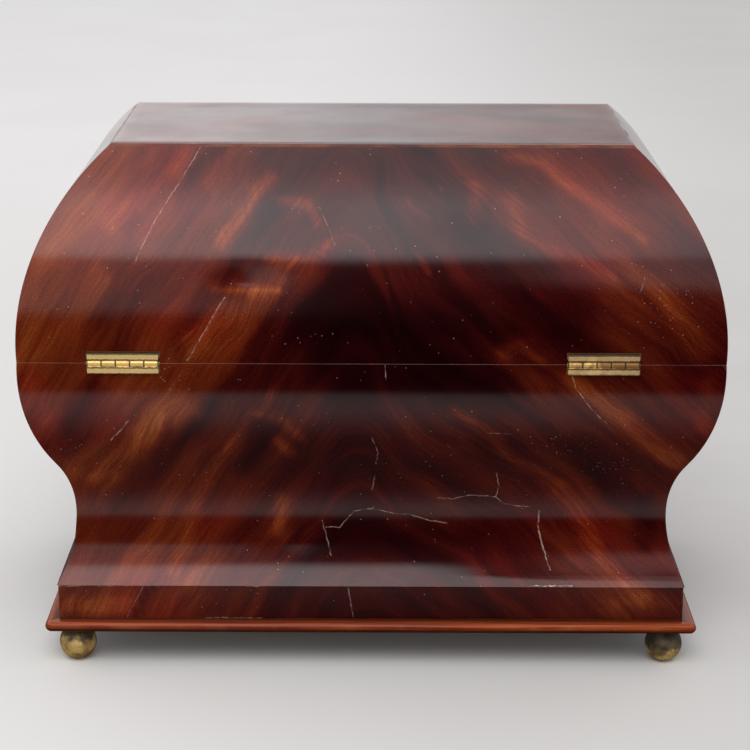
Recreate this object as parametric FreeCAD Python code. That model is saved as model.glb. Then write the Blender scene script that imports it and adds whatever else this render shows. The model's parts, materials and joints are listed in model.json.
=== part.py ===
import FreeCAD, Part
import math
import os

os.makedirs("parts", exist_ok=True)

# A tea chest with a swelling, waisted body and a domed lid, veneered all over.
# Millimetres. The origin is on the ground, midway between the four ball feet.
# +Z is up, the lock is at the front on -Y, and the hinges are at the back on +Y.

# Overall sizes
bulge_width = 300.0
bulge_depth = 188.0
plinth_height = 15.5
case_height = 105.0
lid_height = 87.1

# Outline of the case, seen from the back or from an end
case_bulge_drop = 4.7
bulge_share = 0.65
waist_height = 32.0
waist_inset = 20.4
lower_hollow_radius = 57.0
foot_slope = 22.9

# Outline of the lid
lid_bulge_rise = 5.4
lid_bulge_radius = 106.0

# Walls, boards and facings
veneer = 1.2
banding = 1.2
cavity_inset = 28.0
lid_wall = 12.0
top_board_thickness = 8.0
bottom_board_thickness = 8.0
arris_break = 0.3
top_arris = 0.5

# Plinth, base moulding and ball feet
plinth_inset = 12.3
moulding_inset = 6.4
moulding_thickness = 4.9
moulding_ledge = 5.4
moulding_corner_radius = 3.0
foot_ball_diameter = 16.4
foot_worn_flat = 0.15
foot_neck_height = 0.55
foot_neck_radius = 2.6
foot_inset = 12.9
spigot_radius = 2.0
spigot_length = 12.0
spigot_clearance = 0.05

# Hinges, set in from the left and right ends of the back
hinge_left_inset = 52.0
hinge_right_inset = 45.1
hinge_length = 30.0
hinge_plate = 1.4
hinge_plate_sink = 0.15
hinge_plate_reach = 9.0
flange_proud = 1.4
flange_pocket_gap = 0.05
flange_height = 4.3
knuckle_count = 5
knuckle_radius = 1.55
knuckle_gap = 0.15
pin_radius = 0.6
pin_clearance = 0.05
pin_head_radius = 1.0
pin_head_length = 0.4
stop_angle = 95.0
stop_clearance = 0.3
hinge_side_gap = 0.25
case_flange_gap = 0.1
lid_flange_gap = 0.8

# Countersunk screws
screw_length = 7.0
screw_radius = 0.9
screw_head_radius = 1.7
screw_head_height = 0.9
screw_slot = 0.4
screw_clearance = 0.05

# Lock, let into the rim of the front, and the plate above it on the lid
lock_setback = 7.5
lock_wall = 1.0
selvedge_reach = 7.0
selvedge_overhang = 1.3
selvedge_thickness = 1.2
lock_screw_inset = 3.0
slot_clearance = 0.5
staple_width = 6.0
staple_thickness = 1.8
staple_nose = 2.4
staple_side_room = 1.0

# Bolt of the lock
bolt_throw = 4.0
bolt_thickness = 2.4
bolt_side_gap = 0.5
bolt_left = -13.0
bolt_right = 7.0
bolt_top_gap = 1.4
bolt_tongue_height = 2.4
bolt_staple_gap = 1.0
notch_gap = 0.5
notch_end_gap = 0.3
shank_bolt_gap = 1.0
talon_gap = 0.6
talon_side_gap = 0.4

# Key and keyhole
key_drop = 14.7
key_shank_radius = 1.5
key_bit_reach = 5.0
key_bit_thickness = 1.6
key_end_gap = 0.3
key_floor_gap = 1.5
keyhole_clearance = 0.4
keyhole_slot_gap = 0.3
key_collar_radius = 2.4
key_collar_length = 2.0
key_collar_standoff = 3.0
bow_radius = 8.0
bow_hole_radius = 5.2
bow_thickness = 2.6
bow_round = 0.65
escutcheon_width = 15.0
escutcheon_height = 21.0
escutcheon_proud = 0.3

# Fitted inside: two bays for tea canisters, with a bowl between them
bowl_bay_width = 80.0
partition_thickness = 4.0
partition_top_drop = 6.2
canister_clearance = 0.8
canister_wall = 4.0
canister_top_drop = 8.2
cover_thickness = 5.0
cover_plug = 4.0
cover_clearance = 0.4
cover_round = 1.2
knob_spigot_radius = 2.0
knob_radius = 4.8
knob_height = 11.0
knob_neck_radius = 2.6
knob_flare = 1.2
bowl_board_thickness = 6.0
bowl_board_drop = 18.2
bowl_side_gap = 3.5
bowl_rim_ledge = 4.0
bowl_hole_clearance = 0.8
bowl_rim_height = 4.0
bowl_depth = 50.0
bowl_foot_radius = 17.0
bowl_foot_height = 4.0
bowl_foot_taper = 2.0
bowl_wall = 2.6
lining_thickness = 2.0
lining_margin = 1.5
lining_corner = 6.0

# Heights and half sizes worked out from the sizes above
half_width = bulge_width / 2
half_depth = bulge_depth / 2
moulding_bottom = foot_ball_diameter - foot_worn_flat + foot_neck_height
moulding_top = moulding_bottom + moulding_thickness
plinth_top = moulding_top + plinth_height
seam = plinth_top + case_height
lid_top = seam + lid_height
case_bulge_z = seam - case_bulge_drop
lid_bulge_z = seam + lid_bulge_rise
waist_z = plinth_top + waist_height
top_board_bottom = lid_top - veneer - top_board_thickness
bottom_board_top = moulding_top + bottom_board_thickness
cavity_half_width = half_width - cavity_inset
cavity_half_depth = half_depth - cavity_inset

# The moulding carries the bottom board on the ledge that it makes inside the plinth.
moulding_width = cavity_inset - moulding_inset + moulding_ledge

# Hinge sizes that follow others
hinge_places = {
    "left": hinge_left_inset - half_width,
    "right": half_width - hinge_right_inset,
}
hinge_screw_spacing = hinge_length / 3
flange_sunk = knuckle_radius + flange_pocket_gap

# The bolt hangs under the top plate, and its tongue is as long as its throw.
bolt_top = seam - selvedge_thickness - bolt_top_gap
tongue_bottom = bolt_top - bolt_tongue_height
tongue_end = bolt_right + bolt_throw

# The bit turns up into the talon, a notch under the bolt. The notch is as wide as
# the bit's path at the level where it enters, with the bolt halfway through its throw.
bit_entry = key_shank_radius + shank_bolt_gap
bolt_bottom = seam - key_drop + bit_entry
talon_top = seam - key_drop + key_bit_reach + talon_gap
talon_half_width = math.sqrt(key_bit_reach ** 2 - bit_entry ** 2) + talon_side_gap
talon_left = -talon_half_width - bolt_throw / 2
talon_right = talon_half_width - bolt_throw / 2

# The staple stands beside the tongue, and its notch takes the tongue at full throw.
staple_left = tongue_end + bolt_staple_gap
staple_right = staple_left + staple_width
staple_notch_right = tongue_end + bolt_throw + notch_end_gap
staple_notch_bottom = tongue_bottom - notch_gap
staple_notch_top = bolt_top + notch_gap

# The lock's box goes round the bolt, the staple and the turning key.
lock_thickness = bolt_thickness + 2 * (bolt_side_gap + lock_wall)
lock_half_width = staple_right + staple_side_room + lock_wall
lock_height = key_drop + key_bit_reach + key_floor_gap + lock_wall
selvedge_half_length = lock_half_width + selvedge_reach
selvedge_width = lock_thickness + 2 * selvedge_overhang

# The bowl hangs between the partitions.
bowl_rim_radius = bowl_bay_width / 2 - bowl_side_gap
bowl_body_radius = bowl_rim_radius - bowl_rim_ledge

# The bulge and the hollow above the waist are two arcs that meet at one slope.
# The sum of their radii follows from the height and the depth of the waist.
ogee_rise = case_bulge_z - waist_z
ogee_radii = (waist_inset ** 2 + ogee_rise ** 2) / (2 * waist_inset)
case_bulge_radius = bulge_share * ogee_radii
upper_hollow_radius = ogee_radii - case_bulge_radius
ogee_angle = math.asin(ogee_rise / ogee_radii)

SIDES = {"right": 0.0, "back": 90.0, "left": 180.0, "front": 270.0}

# Working sizes of the blocks that cut other shapes
wedge_tip = 5.0
cut_margin = 1.0


def point(x, z):
    """A point of a section, which is drawn in the XZ plane."""
    return FreeCAD.Vector(x, 0.0, z)


def line(start, end):
    return Part.LineSegment(start, end).toShape()


def arc_about(centre, radius, start_angle, end_angle):
    """An arc in the XZ plane, with its angles in radians up from +X."""
    middle_angle = (start_angle + end_angle) / 2
    ends = []
    for angle in (start_angle, middle_angle, end_angle):
        ends.append(centre + point(radius * math.cos(angle), radius * math.sin(angle)))
    return Part.Arc(*ends).toShape()


def run_start(edges):
    return edges[0].firstVertex(True).Point


def run_end(edges):
    return edges[-1].lastVertex(True).Point


def closed_face(edges):
    return Part.Face(Part.Wire(Part.__sortEdges__(edges)))


def polygon_face(corners):
    return Part.Face(Part.makePolygon(corners + [corners[0]]))


def between(outer, inner):
    """The face between two runs of edges that both climb from bottom to top."""
    cap = line(run_end(outer), run_end(inner))
    sole = line(run_start(inner), run_start(outer))
    return closed_face(outer + [cap] + inner + [sole])


def box(low, high):
    size = [b - a for a, b in zip(low, high)]
    return Part.makeBox(size[0], size[1], size[2], FreeCAD.Vector(*low))


def rod(radius, start, end):
    axis = end - start
    return Part.makeCylinder(radius, axis.Length, start, axis)


def one_solid(shape, name):
    """The single solid of a shape, so that a piece never falls apart unseen."""
    solids = shape.Solids
    if len(solids) != 1:
        raise ValueError(f"{name} has {len(solids)} solids")
    return solids[0]


def half_of(side):
    return half_width if side in ("left", "right") else half_depth


def setback(side):
    """How far the mitre lines of this side start from the middle of the chest."""
    other = half_depth if side in ("left", "right") else half_width
    return half_of(side) - other


def mitred_strip(side, section):
    """A strip along one side of the chest with this section, mitred at both ends.

    The section is drawn with X as the distance outwards from the middle.
    """
    far = bulge_width
    near = max(setback(side), 0.0) + wedge_tip
    corners = []
    for out, along in ((near, 1), (far, 1), (far, -1), (near, -1)):
        corners.append(FreeCAD.Vector(out, along * (out - setback(side)), 0.0))
    wedge = polygon_face(corners).extrude(FreeCAD.Vector(0, 0, lid_top + cut_margin))
    prism = section.extrude(FreeCAD.Vector(0, 2 * far, 0))
    prism.translate(FreeCAD.Vector(0, -far, 0))
    strip = prism.common(wedge)
    strip.rotate(FreeCAD.Vector(0, 0, 0), FreeCAD.Vector(0, 0, 1), SIDES[side])
    return one_solid(strip, "strip " + side)


def case_bulge_arc(half, depth, low, high):
    """The arc of the bulge, this deep inside the surface, between two heights."""
    centre = point(half - case_bulge_radius, case_bulge_z)
    radius = case_bulge_radius - depth
    start = math.asin((low - case_bulge_z) / radius)
    end = math.asin((high - case_bulge_z) / radius)
    return arc_about(centre, radius, start, end)


def case_run(half, depth, high):
    """The whole outline of the case, from the plinth up to a height in the bulge."""
    waist = half - waist_inset
    slope = math.radians(foot_slope)
    lower_centre = point(waist + lower_hollow_radius, waist_z)
    upper_centre = point(waist + upper_hollow_radius, waist_z)
    lower = arc_about(
        lower_centre, lower_hollow_radius + depth, math.pi + slope, math.pi
    )
    upper = arc_about(
        upper_centre, upper_hollow_radius + depth, math.pi, math.pi - ogee_angle
    )
    foot_start = run_start([lower])
    foot_x = foot_start.x + (foot_start.z - plinth_top) * math.tan(slope)
    foot = line(point(foot_x, plinth_top), foot_start)
    bulge_low = run_end([upper]).z
    return [foot, lower, upper, case_bulge_arc(half, depth, bulge_low, high)]


def lid_arc(half, depth, low, high):
    """The arc of the lid, this deep inside the surface, between two heights."""
    centre = point(half - lid_bulge_radius, lid_bulge_z)
    radius = lid_bulge_radius - depth
    start = math.asin((low - lid_bulge_z) / radius)
    end = math.asin((high - lid_bulge_z) / radius)
    return [arc_about(centre, radius, start, end)]


def face_distance(run):
    return run_end(run).x


def case_core_section(half):
    """A case wall: curved outside, and straight inside to line the well."""
    outer = case_run(half, veneer, seam - banding)
    inside = half - cavity_inset
    inner = [line(point(inside, plinth_top), point(inside, seam - banding))]
    return between(outer, inner)


def case_veneer_section(half):
    outer = case_run(half, 0.0, seam - arris_break)
    tip = run_end(outer)
    outer.append(line(tip, point(tip.x - arris_break, seam)))
    return between(outer, case_run(half, veneer, seam))


def case_banding_section(half):
    outer = [case_bulge_arc(half, veneer, seam - banding, seam)]
    inside = half - cavity_inset
    inner = [line(point(inside, seam - banding), point(inside, seam))]
    return between(outer, inner)


def lid_core_section(half):
    outer = lid_arc(half, veneer, seam + banding, top_board_bottom)
    inner = lid_arc(half, lid_wall, seam + banding, top_board_bottom)
    return between(outer, inner)


def lid_veneer_section(half):
    outer = lid_arc(half, 0.0, seam + arris_break, lid_top - veneer)
    tip = run_start(outer)
    outer.insert(0, line(point(tip.x - arris_break, seam), tip))
    return between(outer, lid_arc(half, veneer, seam, lid_top - veneer))


def lid_banding_section(half):
    outer = lid_arc(half, veneer, seam, seam + banding)
    inner = lid_arc(half, lid_wall, seam, seam + banding)
    return between(outer, inner)


def plinth_section(half):
    outside = half - plinth_inset
    inside = half - cavity_inset
    corners = [
        point(inside, moulding_top),
        point(outside, moulding_top),
        point(outside, plinth_top - arris_break),
        point(outside - arris_break, plinth_top),
        point(inside, plinth_top),
    ]
    return polygon_face(corners)


def moulding_section(half):
    """A flat strip with a round nose."""
    nose_radius = moulding_thickness / 2
    middle = moulding_bottom + nose_radius
    nose_centre = point(half - moulding_inset - nose_radius, middle)
    nose = arc_about(nose_centre, nose_radius, -math.pi / 2, math.pi / 2)
    inside = half - moulding_inset - moulding_width
    inner = line(point(inside, moulding_bottom), point(inside, moulding_top))
    return between([nose], [inner])


def lid_slice(depth, low, high):
    """A level slice of the lid's dome, with its edges on the curve of the sides."""
    prisms = []
    for half, turn in ((half_width, 0.0), (half_depth, 90.0)):
        right = lid_arc(half, depth, low, high)[0]
        bottom, top = run_start([right]), run_end([right])
        left = right.mirror(FreeCAD.Vector(0, 0, 0), FreeCAD.Vector(1, 0, 0))
        sole = line(point(-bottom.x, low), bottom)
        cap = line(point(-top.x, high), top)
        prism = closed_face([right, left, sole, cap]).extrude(
            FreeCAD.Vector(0, 2 * bulge_width, 0)
        )
        prism.translate(FreeCAD.Vector(0, -bulge_width, 0))
        prism.rotate(FreeCAD.Vector(0, 0, 0), FreeCAD.Vector(0, 0, 1), turn)
        prisms.append(prism)
    return one_solid(prisms[0].common(prisms[1]), "lid slice")


def foot_centres():
    """The four feet, named by the corner that each one stands under."""
    x = half_width - moulding_inset - foot_inset
    y = half_depth - moulding_inset - foot_inset
    return {
        "front_left": (-x, -y),
        "front_right": (x, -y),
        "back_left": (-x, y),
        "back_right": (x, y),
    }


def foot(x, y):
    """A cast ball with a short neck and a spigot, worn flat where it stands."""
    radius = foot_ball_diameter / 2
    centre = FreeCAD.Vector(x, y, radius - foot_worn_flat)
    ball = Part.makeSphere(radius, centre)
    neck_end = FreeCAD.Vector(x, y, moulding_bottom)
    neck = rod(foot_neck_radius, centre, neck_end)
    spigot = rod(spigot_radius, centre, neck_end + FreeCAD.Vector(0, 0, spigot_length))
    below = box((x - radius, y - radius, -radius), (x + radius, y + radius, 0.0))
    return ball.fuse([neck, spigot]).cut(below).removeSplitter()


def spigot_holes():
    holes = []
    top = moulding_bottom + spigot_length + spigot_clearance
    for x, y in foot_centres().values():
        start = FreeCAD.Vector(x, y, moulding_bottom)
        hole = rod(
            spigot_radius + spigot_clearance, start, FreeCAD.Vector(x, y, top)
        )
        holes.append(hole)
    return holes


def rounded_outline(half_x, half_y, radius, low, high):
    """A block with rounded upright corners."""
    block = box((-half_x, -half_y, low), (half_x, half_y, high))
    upright = [e for e in block.Edges if e.BoundBox.ZLength > (high - low) / 2]
    return block.makeFillet(radius, upright)


def screw(head_centre, direction):
    """A countersunk screw whose head lies flush at head_centre."""
    tip = screw_radius
    cone = Part.makeCone(
        screw_head_radius, screw_radius, screw_head_height, head_centre, direction
    )
    shank_end = head_centre + direction * (screw_length - tip)
    shank = rod(screw_radius, head_centre, shank_end)
    point_cone = Part.makeCone(screw_radius, 0.0, tip, shank_end, direction)
    reach = screw_head_radius + screw_clearance
    slot_low = head_centre - FreeCAD.Vector(reach, screw_slot / 2, screw_slot)
    slot = Part.makeBox(2 * reach, screw_slot, 2 * screw_slot, slot_low)
    return one_solid(cone.fuse([shank, point_cone]).cut(slot), "screw")


def screw_hole(head_centre, direction):
    """The room that one screw takes, with its clearance."""
    radius = screw_radius + screw_clearance
    head = Part.makeCone(
        screw_head_radius + screw_clearance,
        radius,
        screw_head_height,
        head_centre,
        direction,
    )
    end = head_centre + direction * (screw_length + screw_clearance)
    return head.fuse(rod(radius, head_centre, end))


def hinge_side(up):
    """Signs and gaps of a leaf: up is 1 on the lid and -1 on the case."""
    flange_gap = lid_flange_gap if up > 0 else case_flange_gap
    own = [i for i in range(knuckle_count) if i % 2 == (1 if up > 0 else 0)]
    return flange_gap, own


def hinge_leaf(place, up):
    """An L-shaped leaf: a plate in the rim, a flange on the back, and knuckles.

    The flanges are bevelled so that they meet when the lid stands fully open.
    """
    start = place - hinge_length / 2
    bevel = math.radians(stop_angle / 2 + stop_clearance)
    axis = FreeCAD.Vector(start, half_depth, seam)

    def at(out, rise):
        return axis + FreeCAD.Vector(0, out, up * rise)

    sink = hinge_plate_sink
    under = sink + hinge_plate
    corners = [
        at(-hinge_plate_reach, sink),
        at(sink / math.tan(bevel), sink),
        at(flange_proud, flange_proud * math.tan(bevel)),
        at(flange_proud, flange_height),
        at(-flange_sunk, flange_height),
        at(-flange_sunk, under),
        at(-hinge_plate_reach, under),
    ]
    leaf = polygon_face(corners).extrude(FreeCAD.Vector(hinge_length, 0, 0))
    pitch = hinge_length / knuckle_count
    own = hinge_side(up)[1]
    for index in range(knuckle_count):
        low = index * pitch
        if index in own:
            near = axis + FreeCAD.Vector(low + knuckle_gap / 2, 0, 0)
            far = axis + FreeCAD.Vector(low + pitch - knuckle_gap / 2, 0, 0)
            leaf = leaf.fuse(rod(knuckle_radius, near, far))
        else:
            near = axis + FreeCAD.Vector(low - knuckle_gap / 2, 0, 0)
            far = axis + FreeCAD.Vector(low + pitch + knuckle_gap / 2, 0, 0)
            leaf = leaf.cut(rod(knuckle_radius + knuckle_gap, near, far))
    reach = FreeCAD.Vector(hinge_length, 0, 0)
    leaf = leaf.cut(rod(pin_radius + pin_clearance, axis - reach, axis + reach * 2))
    for centre, direction in hinge_screws(place, up):
        leaf = leaf.cut(screw_hole(centre, direction))
    return one_solid(leaf.removeSplitter(), "hinge leaf")


def hinge_pin(place):
    """The pin, with a riveted head past each end knuckle."""
    middle = FreeCAD.Vector(place, half_depth, seam)
    shape = rod(
        pin_radius,
        middle - FreeCAD.Vector(hinge_length / 2, 0, 0),
        middle + FreeCAD.Vector(hinge_length / 2, 0, 0),
    )
    for way in (-1, 1):
        start = middle + FreeCAD.Vector(way * hinge_length / 2, 0, 0)
        end = start + FreeCAD.Vector(way * pin_head_length, 0, 0)
        shape = shape.fuse(rod(pin_head_radius, start, end))
    return one_solid(shape.removeSplitter(), "hinge pin")


def hinge_screws(place, up):
    """Where the three screws of a leaf go, and which way they point."""
    y = half_depth - (hinge_plate_reach + flange_sunk) / 2
    z = seam + up * hinge_plate_sink
    direction = FreeCAD.Vector(0, 0, up)
    centres = []
    for step in (-1, 0, 1):
        x = place + step * hinge_screw_spacing
        centres.append((FreeCAD.Vector(x, y, z), direction))
    return centres


def hinge_mortise(place, up):
    """The wood taken out for one leaf and for the knuckles beside it."""
    flange_gap = hinge_side(up)[0]
    reach = hinge_length / 2 + hinge_side_gap + pin_head_length
    outside = half_depth + flange_proud
    depths = (
        (hinge_plate_reach, hinge_plate_sink + hinge_plate),
        (flange_sunk, flange_height + flange_gap),
    )
    boxes = []
    for inward, deep in depths:
        levels = sorted((seam, seam + up * deep))
        low = (place - reach, half_depth - inward, levels[0])
        high = (place + reach, outside, levels[1])
        boxes.append(box(low, high))
    return boxes[0].fuse(boxes[1])


def lock_y():
    """The middle plane of the lock, which stands on edge in the front rim."""
    return -(half_depth - lock_setback)


def lock_screws(up):
    """Where the two screws of the lock or of the link plate go."""
    z = seam if up < 0 else seam + hinge_plate_sink
    place = selvedge_half_length - lock_screw_inset
    direction = FreeCAD.Vector(0, 0, up)
    return [
        (FreeCAD.Vector(way * place, lock_y(), z), direction)
        for way in (-1, 1)
    ]


def outside_y():
    """A depth just in front of the whole case, where cuts from the front start."""
    return -(half_depth + cut_margin)


def key_centre():
    return FreeCAD.Vector(0, lock_y(), seam - key_drop)


def keyhole(start_y, end_y):
    """The keyhole, from one depth to another: a round hole over a slot."""
    radius = key_shank_radius + keyhole_clearance
    centre = key_centre()
    start = FreeCAD.Vector(0, start_y, centre.z)
    end = FreeCAD.Vector(0, end_y, centre.z)
    drop = key_bit_reach + keyhole_clearance
    half_slot = key_bit_thickness / 2 + keyhole_slot_gap
    lows = (-half_slot, min(start_y, end_y), centre.z - drop)
    highs = (half_slot, max(start_y, end_y), centre.z)
    return rod(radius, start, end).fuse(box(lows, highs))


def lock_case():
    """A flat metal box under a long top plate, with a slot and a keyhole."""
    y = lock_y()
    half_y = lock_thickness / 2
    plate_bottom = seam - selvedge_thickness
    body = box(
        (-lock_half_width, y - half_y, seam - lock_height),
        (lock_half_width, y + half_y, plate_bottom),
    )
    inner = lock_half_width - lock_wall
    room = box(
        (-inner, y - half_y + lock_wall, seam - lock_height + lock_wall),
        (inner, y + half_y - lock_wall, plate_bottom),
    )
    plate = box(
        (-selvedge_half_length, y - selvedge_width / 2, plate_bottom),
        (selvedge_half_length, y + selvedge_width / 2, seam),
    )
    slot = box(
        (staple_left - slot_clearance, y - half_y + lock_wall, plate_bottom),
        (staple_right + slot_clearance, y + half_y - lock_wall, seam),
    )
    shape = body.cut(room).fuse(plate).cut(slot)
    shape = shape.cut(keyhole(y - half_y - lock_wall, y))
    for centre, direction in lock_screws(-1):
        shape = shape.cut(screw_hole(centre, direction))
    return one_solid(shape.removeSplitter(), "lock case")


def lock_mortise():
    y = lock_y()
    half_y = lock_thickness / 2
    body = box(
        (-lock_half_width, y - half_y, seam - lock_height),
        (lock_half_width, y + half_y, seam),
    )
    plate = box(
        (-selvedge_half_length, y - selvedge_width / 2, seam - selvedge_thickness),
        (selvedge_half_length, y + selvedge_width / 2, seam),
    )
    return body.fuse(plate)


def lock_bolt():
    """A sliding plate whose tongue enters the notch of the staple."""
    front = lock_y() - bolt_thickness / 2
    back = lock_y() + bolt_thickness / 2
    body = box((bolt_left, front, bolt_bottom), (bolt_right, back, bolt_top))
    tongue = box((bolt_right, front, tongue_bottom), (tongue_end, back, bolt_top))
    talon = box((talon_left, front, bolt_bottom), (talon_right, back, talon_top))
    return one_solid(body.fuse(tongue).cut(talon).removeSplitter(), "lock bolt")


def link_plate():
    """The plate on the lid, with a hooked staple that drops into the lock."""
    y = lock_y()
    low = seam + hinge_plate_sink
    high = low + selvedge_thickness
    plate = box(
        (-selvedge_half_length, y - selvedge_width / 2, low),
        (selvedge_half_length, y + selvedge_width / 2, high),
    )
    front = y - staple_thickness / 2
    back = y + staple_thickness / 2
    tip = staple_notch_bottom - staple_nose
    staple = box((staple_left, front, tip), (staple_right, back, low))
    notch = box(
        (staple_left, front, staple_notch_bottom),
        (staple_notch_right, back, staple_notch_top),
    )
    shape = plate.fuse(staple).cut(notch)
    for centre, direction in lock_screws(1):
        shape = shape.cut(screw_hole(centre, direction))
    return one_solid(shape.removeSplitter(), "link plate")


def link_recess():
    """The wood taken out of the lid for the link plate."""
    y = lock_y()
    return box(
        (-selvedge_half_length, y - selvedge_width / 2, seam),
        (
            selvedge_half_length,
            y + selvedge_width / 2,
            seam + hinge_plate_sink + selvedge_thickness,
        ),
    )


def front_surface_y():
    """Where the front of the case lies, level with the keyhole."""
    rise = key_centre().z - case_bulge_z
    bulge = math.sqrt(case_bulge_radius ** 2 - rise ** 2)
    return -(half_depth - case_bulge_radius + bulge)


def escutcheon_prism():
    """The lozenge outline of the keyhole plate, as a long block along Y."""
    centre = key_centre()
    corners = []
    for x, z in ((1, 0), (0, 1), (-1, 0), (0, -1)):
        corner = FreeCAD.Vector(
            x * escutcheon_width / 2, outside_y(), centre.z + z * escutcheon_height / 2
        )
        corners.append(corner)
    return polygon_face(corners).extrude(FreeCAD.Vector(0, lock_y() - outside_y(), 0))


def escutcheon():
    """A lozenge of sheet metal let into the veneer, filed to the curve."""
    low = key_centre().z - escutcheon_height
    outer = [case_bulge_arc(half_depth, -escutcheon_proud, low, seam)]
    inner = [case_bulge_arc(half_depth, veneer, low, seam)]
    strip = mitred_strip("front", between(outer, inner))
    plate = strip.common(escutcheon_prism())
    plate = plate.cut(keyhole(outside_y(), lock_y()))
    return one_solid(plate, "escutcheon")


def key():
    """A small key: ring bow, collar, shank and a plain bit."""
    centre = key_centre()
    half_y = lock_thickness / 2 - lock_wall - key_end_gap
    tip_y = centre.y + half_y
    collar_y = front_surface_y() - key_collar_standoff
    bow_y = collar_y - key_collar_length - bow_radius + bow_thickness / 2

    def on_axis(y):
        return FreeCAD.Vector(centre.x, y, centre.z)

    shank = rod(key_shank_radius, on_axis(tip_y), on_axis(bow_y + bow_hole_radius))
    collar = rod(key_collar_radius, on_axis(collar_y), on_axis(collar_y - key_collar_length))
    bit = box(
        (-key_bit_thickness / 2, centre.y - half_y, centre.z - key_bit_reach),
        (key_bit_thickness / 2, centre.y + half_y, centre.z),
    )
    across = FreeCAD.Vector(bow_thickness / 2, 0, 0)
    disc = rod(bow_radius, on_axis(bow_y) - across, on_axis(bow_y) + across)
    rim = [e for e in disc.Edges if len(e.Vertexes) == 1]
    disc = disc.makeFillet(bow_round, rim)
    hole = rod(bow_hole_radius, on_axis(bow_y) - across * 2, on_axis(bow_y) + across * 2)
    shape = shank.fuse([collar, disc]).cut(hole).fuse(bit)
    return one_solid(shape.removeSplitter(), "key")


def bay_edges():
    """The two sides of the right-hand canister bay."""
    return bowl_bay_width / 2 + partition_thickness, cavity_half_width


def partition(way):
    near = bowl_bay_width / 2
    far = near + partition_thickness
    low_x, high_x = sorted((way * near, way * far))
    return box(
        (low_x, -cavity_half_depth, bottom_board_top),
        (high_x, cavity_half_depth, seam - partition_top_drop),
    )


def canister_box(inset, low, high, way):
    """A block that fills a canister bay, less an inset on its four sides."""
    near, far = bay_edges()
    xs = sorted((way * (near + inset), way * (far - inset)))
    half_y = cavity_half_depth - inset
    return box((xs[0], -half_y, low), (xs[1], half_y, high))


def canister(way):
    top = seam - canister_top_drop
    outer = canister_box(canister_clearance, bottom_board_top, top, way)
    inner = canister_box(
        canister_clearance + canister_wall, bottom_board_top + canister_wall, top, way
    )
    return outer.cut(inner)


def cover_centre(way):
    near, far = bay_edges()
    return FreeCAD.Vector(way * (near + far) / 2, 0, seam - canister_top_drop)


def cover(way):
    """A loose cover with a plug that enters the canister."""
    low = seam - canister_top_drop
    plate = canister_box(canister_clearance, low, low + cover_thickness, way)
    top_edges = [e for e in plate.Edges if e.BoundBox.ZMin > low + cover_thickness / 2]
    plate = plate.makeFillet(cover_round, top_edges)
    plug_inset = canister_clearance + canister_wall + cover_clearance
    plug = canister_box(plug_inset, low - cover_plug, low, way)
    centre = cover_centre(way)
    up = FreeCAD.Vector(0, 0, cover_thickness)
    hole = rod(knob_spigot_radius + spigot_clearance, centre, centre + up)
    return one_solid(plate.fuse(plug).cut(hole).removeSplitter(), "cover")


def knob(way):
    """A turned ball knob, with a spigot that goes through the cover's plate."""
    base = cover_centre(way) + FreeCAD.Vector(0, 0, cover_thickness)
    ball_centre = point(0, knob_height - knob_radius)
    neck_angle = -math.acos(knob_neck_radius / knob_radius)
    ball = arc_about(ball_centre, knob_radius, neck_angle, math.pi / 2)
    corners = [
        point(0, -cover_thickness),
        point(knob_spigot_radius, -cover_thickness),
        point(knob_spigot_radius, 0),
        point(knob_neck_radius + knob_flare, 0),
        run_start([ball]),
    ]
    edges = [line(a, b) for a, b in zip(corners, corners[1:])]
    edges += [ball, line(run_end([ball]), corners[0])]
    turned = closed_face(edges).revolve(FreeCAD.Vector(0, 0, 0), FreeCAD.Vector(0, 0, 1))
    turned.translate(base)
    return one_solid(turned, "knob")


def bowl_board():
    """The board between the partitions, with a round hole for the bowl."""
    high = seam - bowl_board_drop
    low = high - bowl_board_thickness
    half_x = bowl_bay_width / 2
    board = box((-half_x, -cavity_half_depth, low), (half_x, cavity_half_depth, high))
    radius = bowl_body_radius + bowl_hole_clearance
    hole = rod(radius, FreeCAD.Vector(0, 0, low), FreeCAD.Vector(0, 0, high))
    return board.cut(hole)


def upright_arc(foot, top):
    """An arc that climbs outwards from foot and stands upright where it meets top."""
    out, rise = top.x - foot.x, top.z - foot.z
    radius = (out ** 2 + rise ** 2) / (2 * out)
    return arc_about(top - point(radius, 0), radius, -math.asin(rise / radius), 0.0)


def bowl():
    """A blown glass bowl with a foot, hung by its rim in the board."""
    ledge = seam - bowl_board_drop
    top = ledge + bowl_rim_height
    bottom = ledge - bowl_depth
    wall_top = ledge - bowl_board_thickness
    base = bottom + bowl_foot_height
    waist = bowl_foot_radius - bowl_foot_taper
    inner_radius = bowl_body_radius - bowl_wall
    outside = upright_arc(point(waist, base), point(bowl_body_radius, wall_top))
    inside = upright_arc(
        point(waist - bowl_wall, base + bowl_wall), point(inner_radius, wall_top)
    )
    climbing = [
        point(bowl_body_radius, wall_top),
        point(bowl_body_radius, ledge),
        point(bowl_rim_radius, ledge),
        point(bowl_rim_radius, top),
        point(inner_radius, top),
        point(inner_radius, wall_top),
    ]
    floor = run_start([inside])
    middle = [
        floor,
        point(0, floor.z),
        point(0, bottom),
        point(bowl_foot_radius, bottom),
        run_start([outside]),
    ]
    edges = [outside, inside]
    for corners in (climbing, middle):
        edges += [line(a, b) for a, b in zip(corners, corners[1:])]
    face = closed_face(edges)
    return one_solid(
        face.revolve(FreeCAD.Vector(0, 0, 0), FreeCAD.Vector(0, 0, 1)), "bowl"
    )


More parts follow.
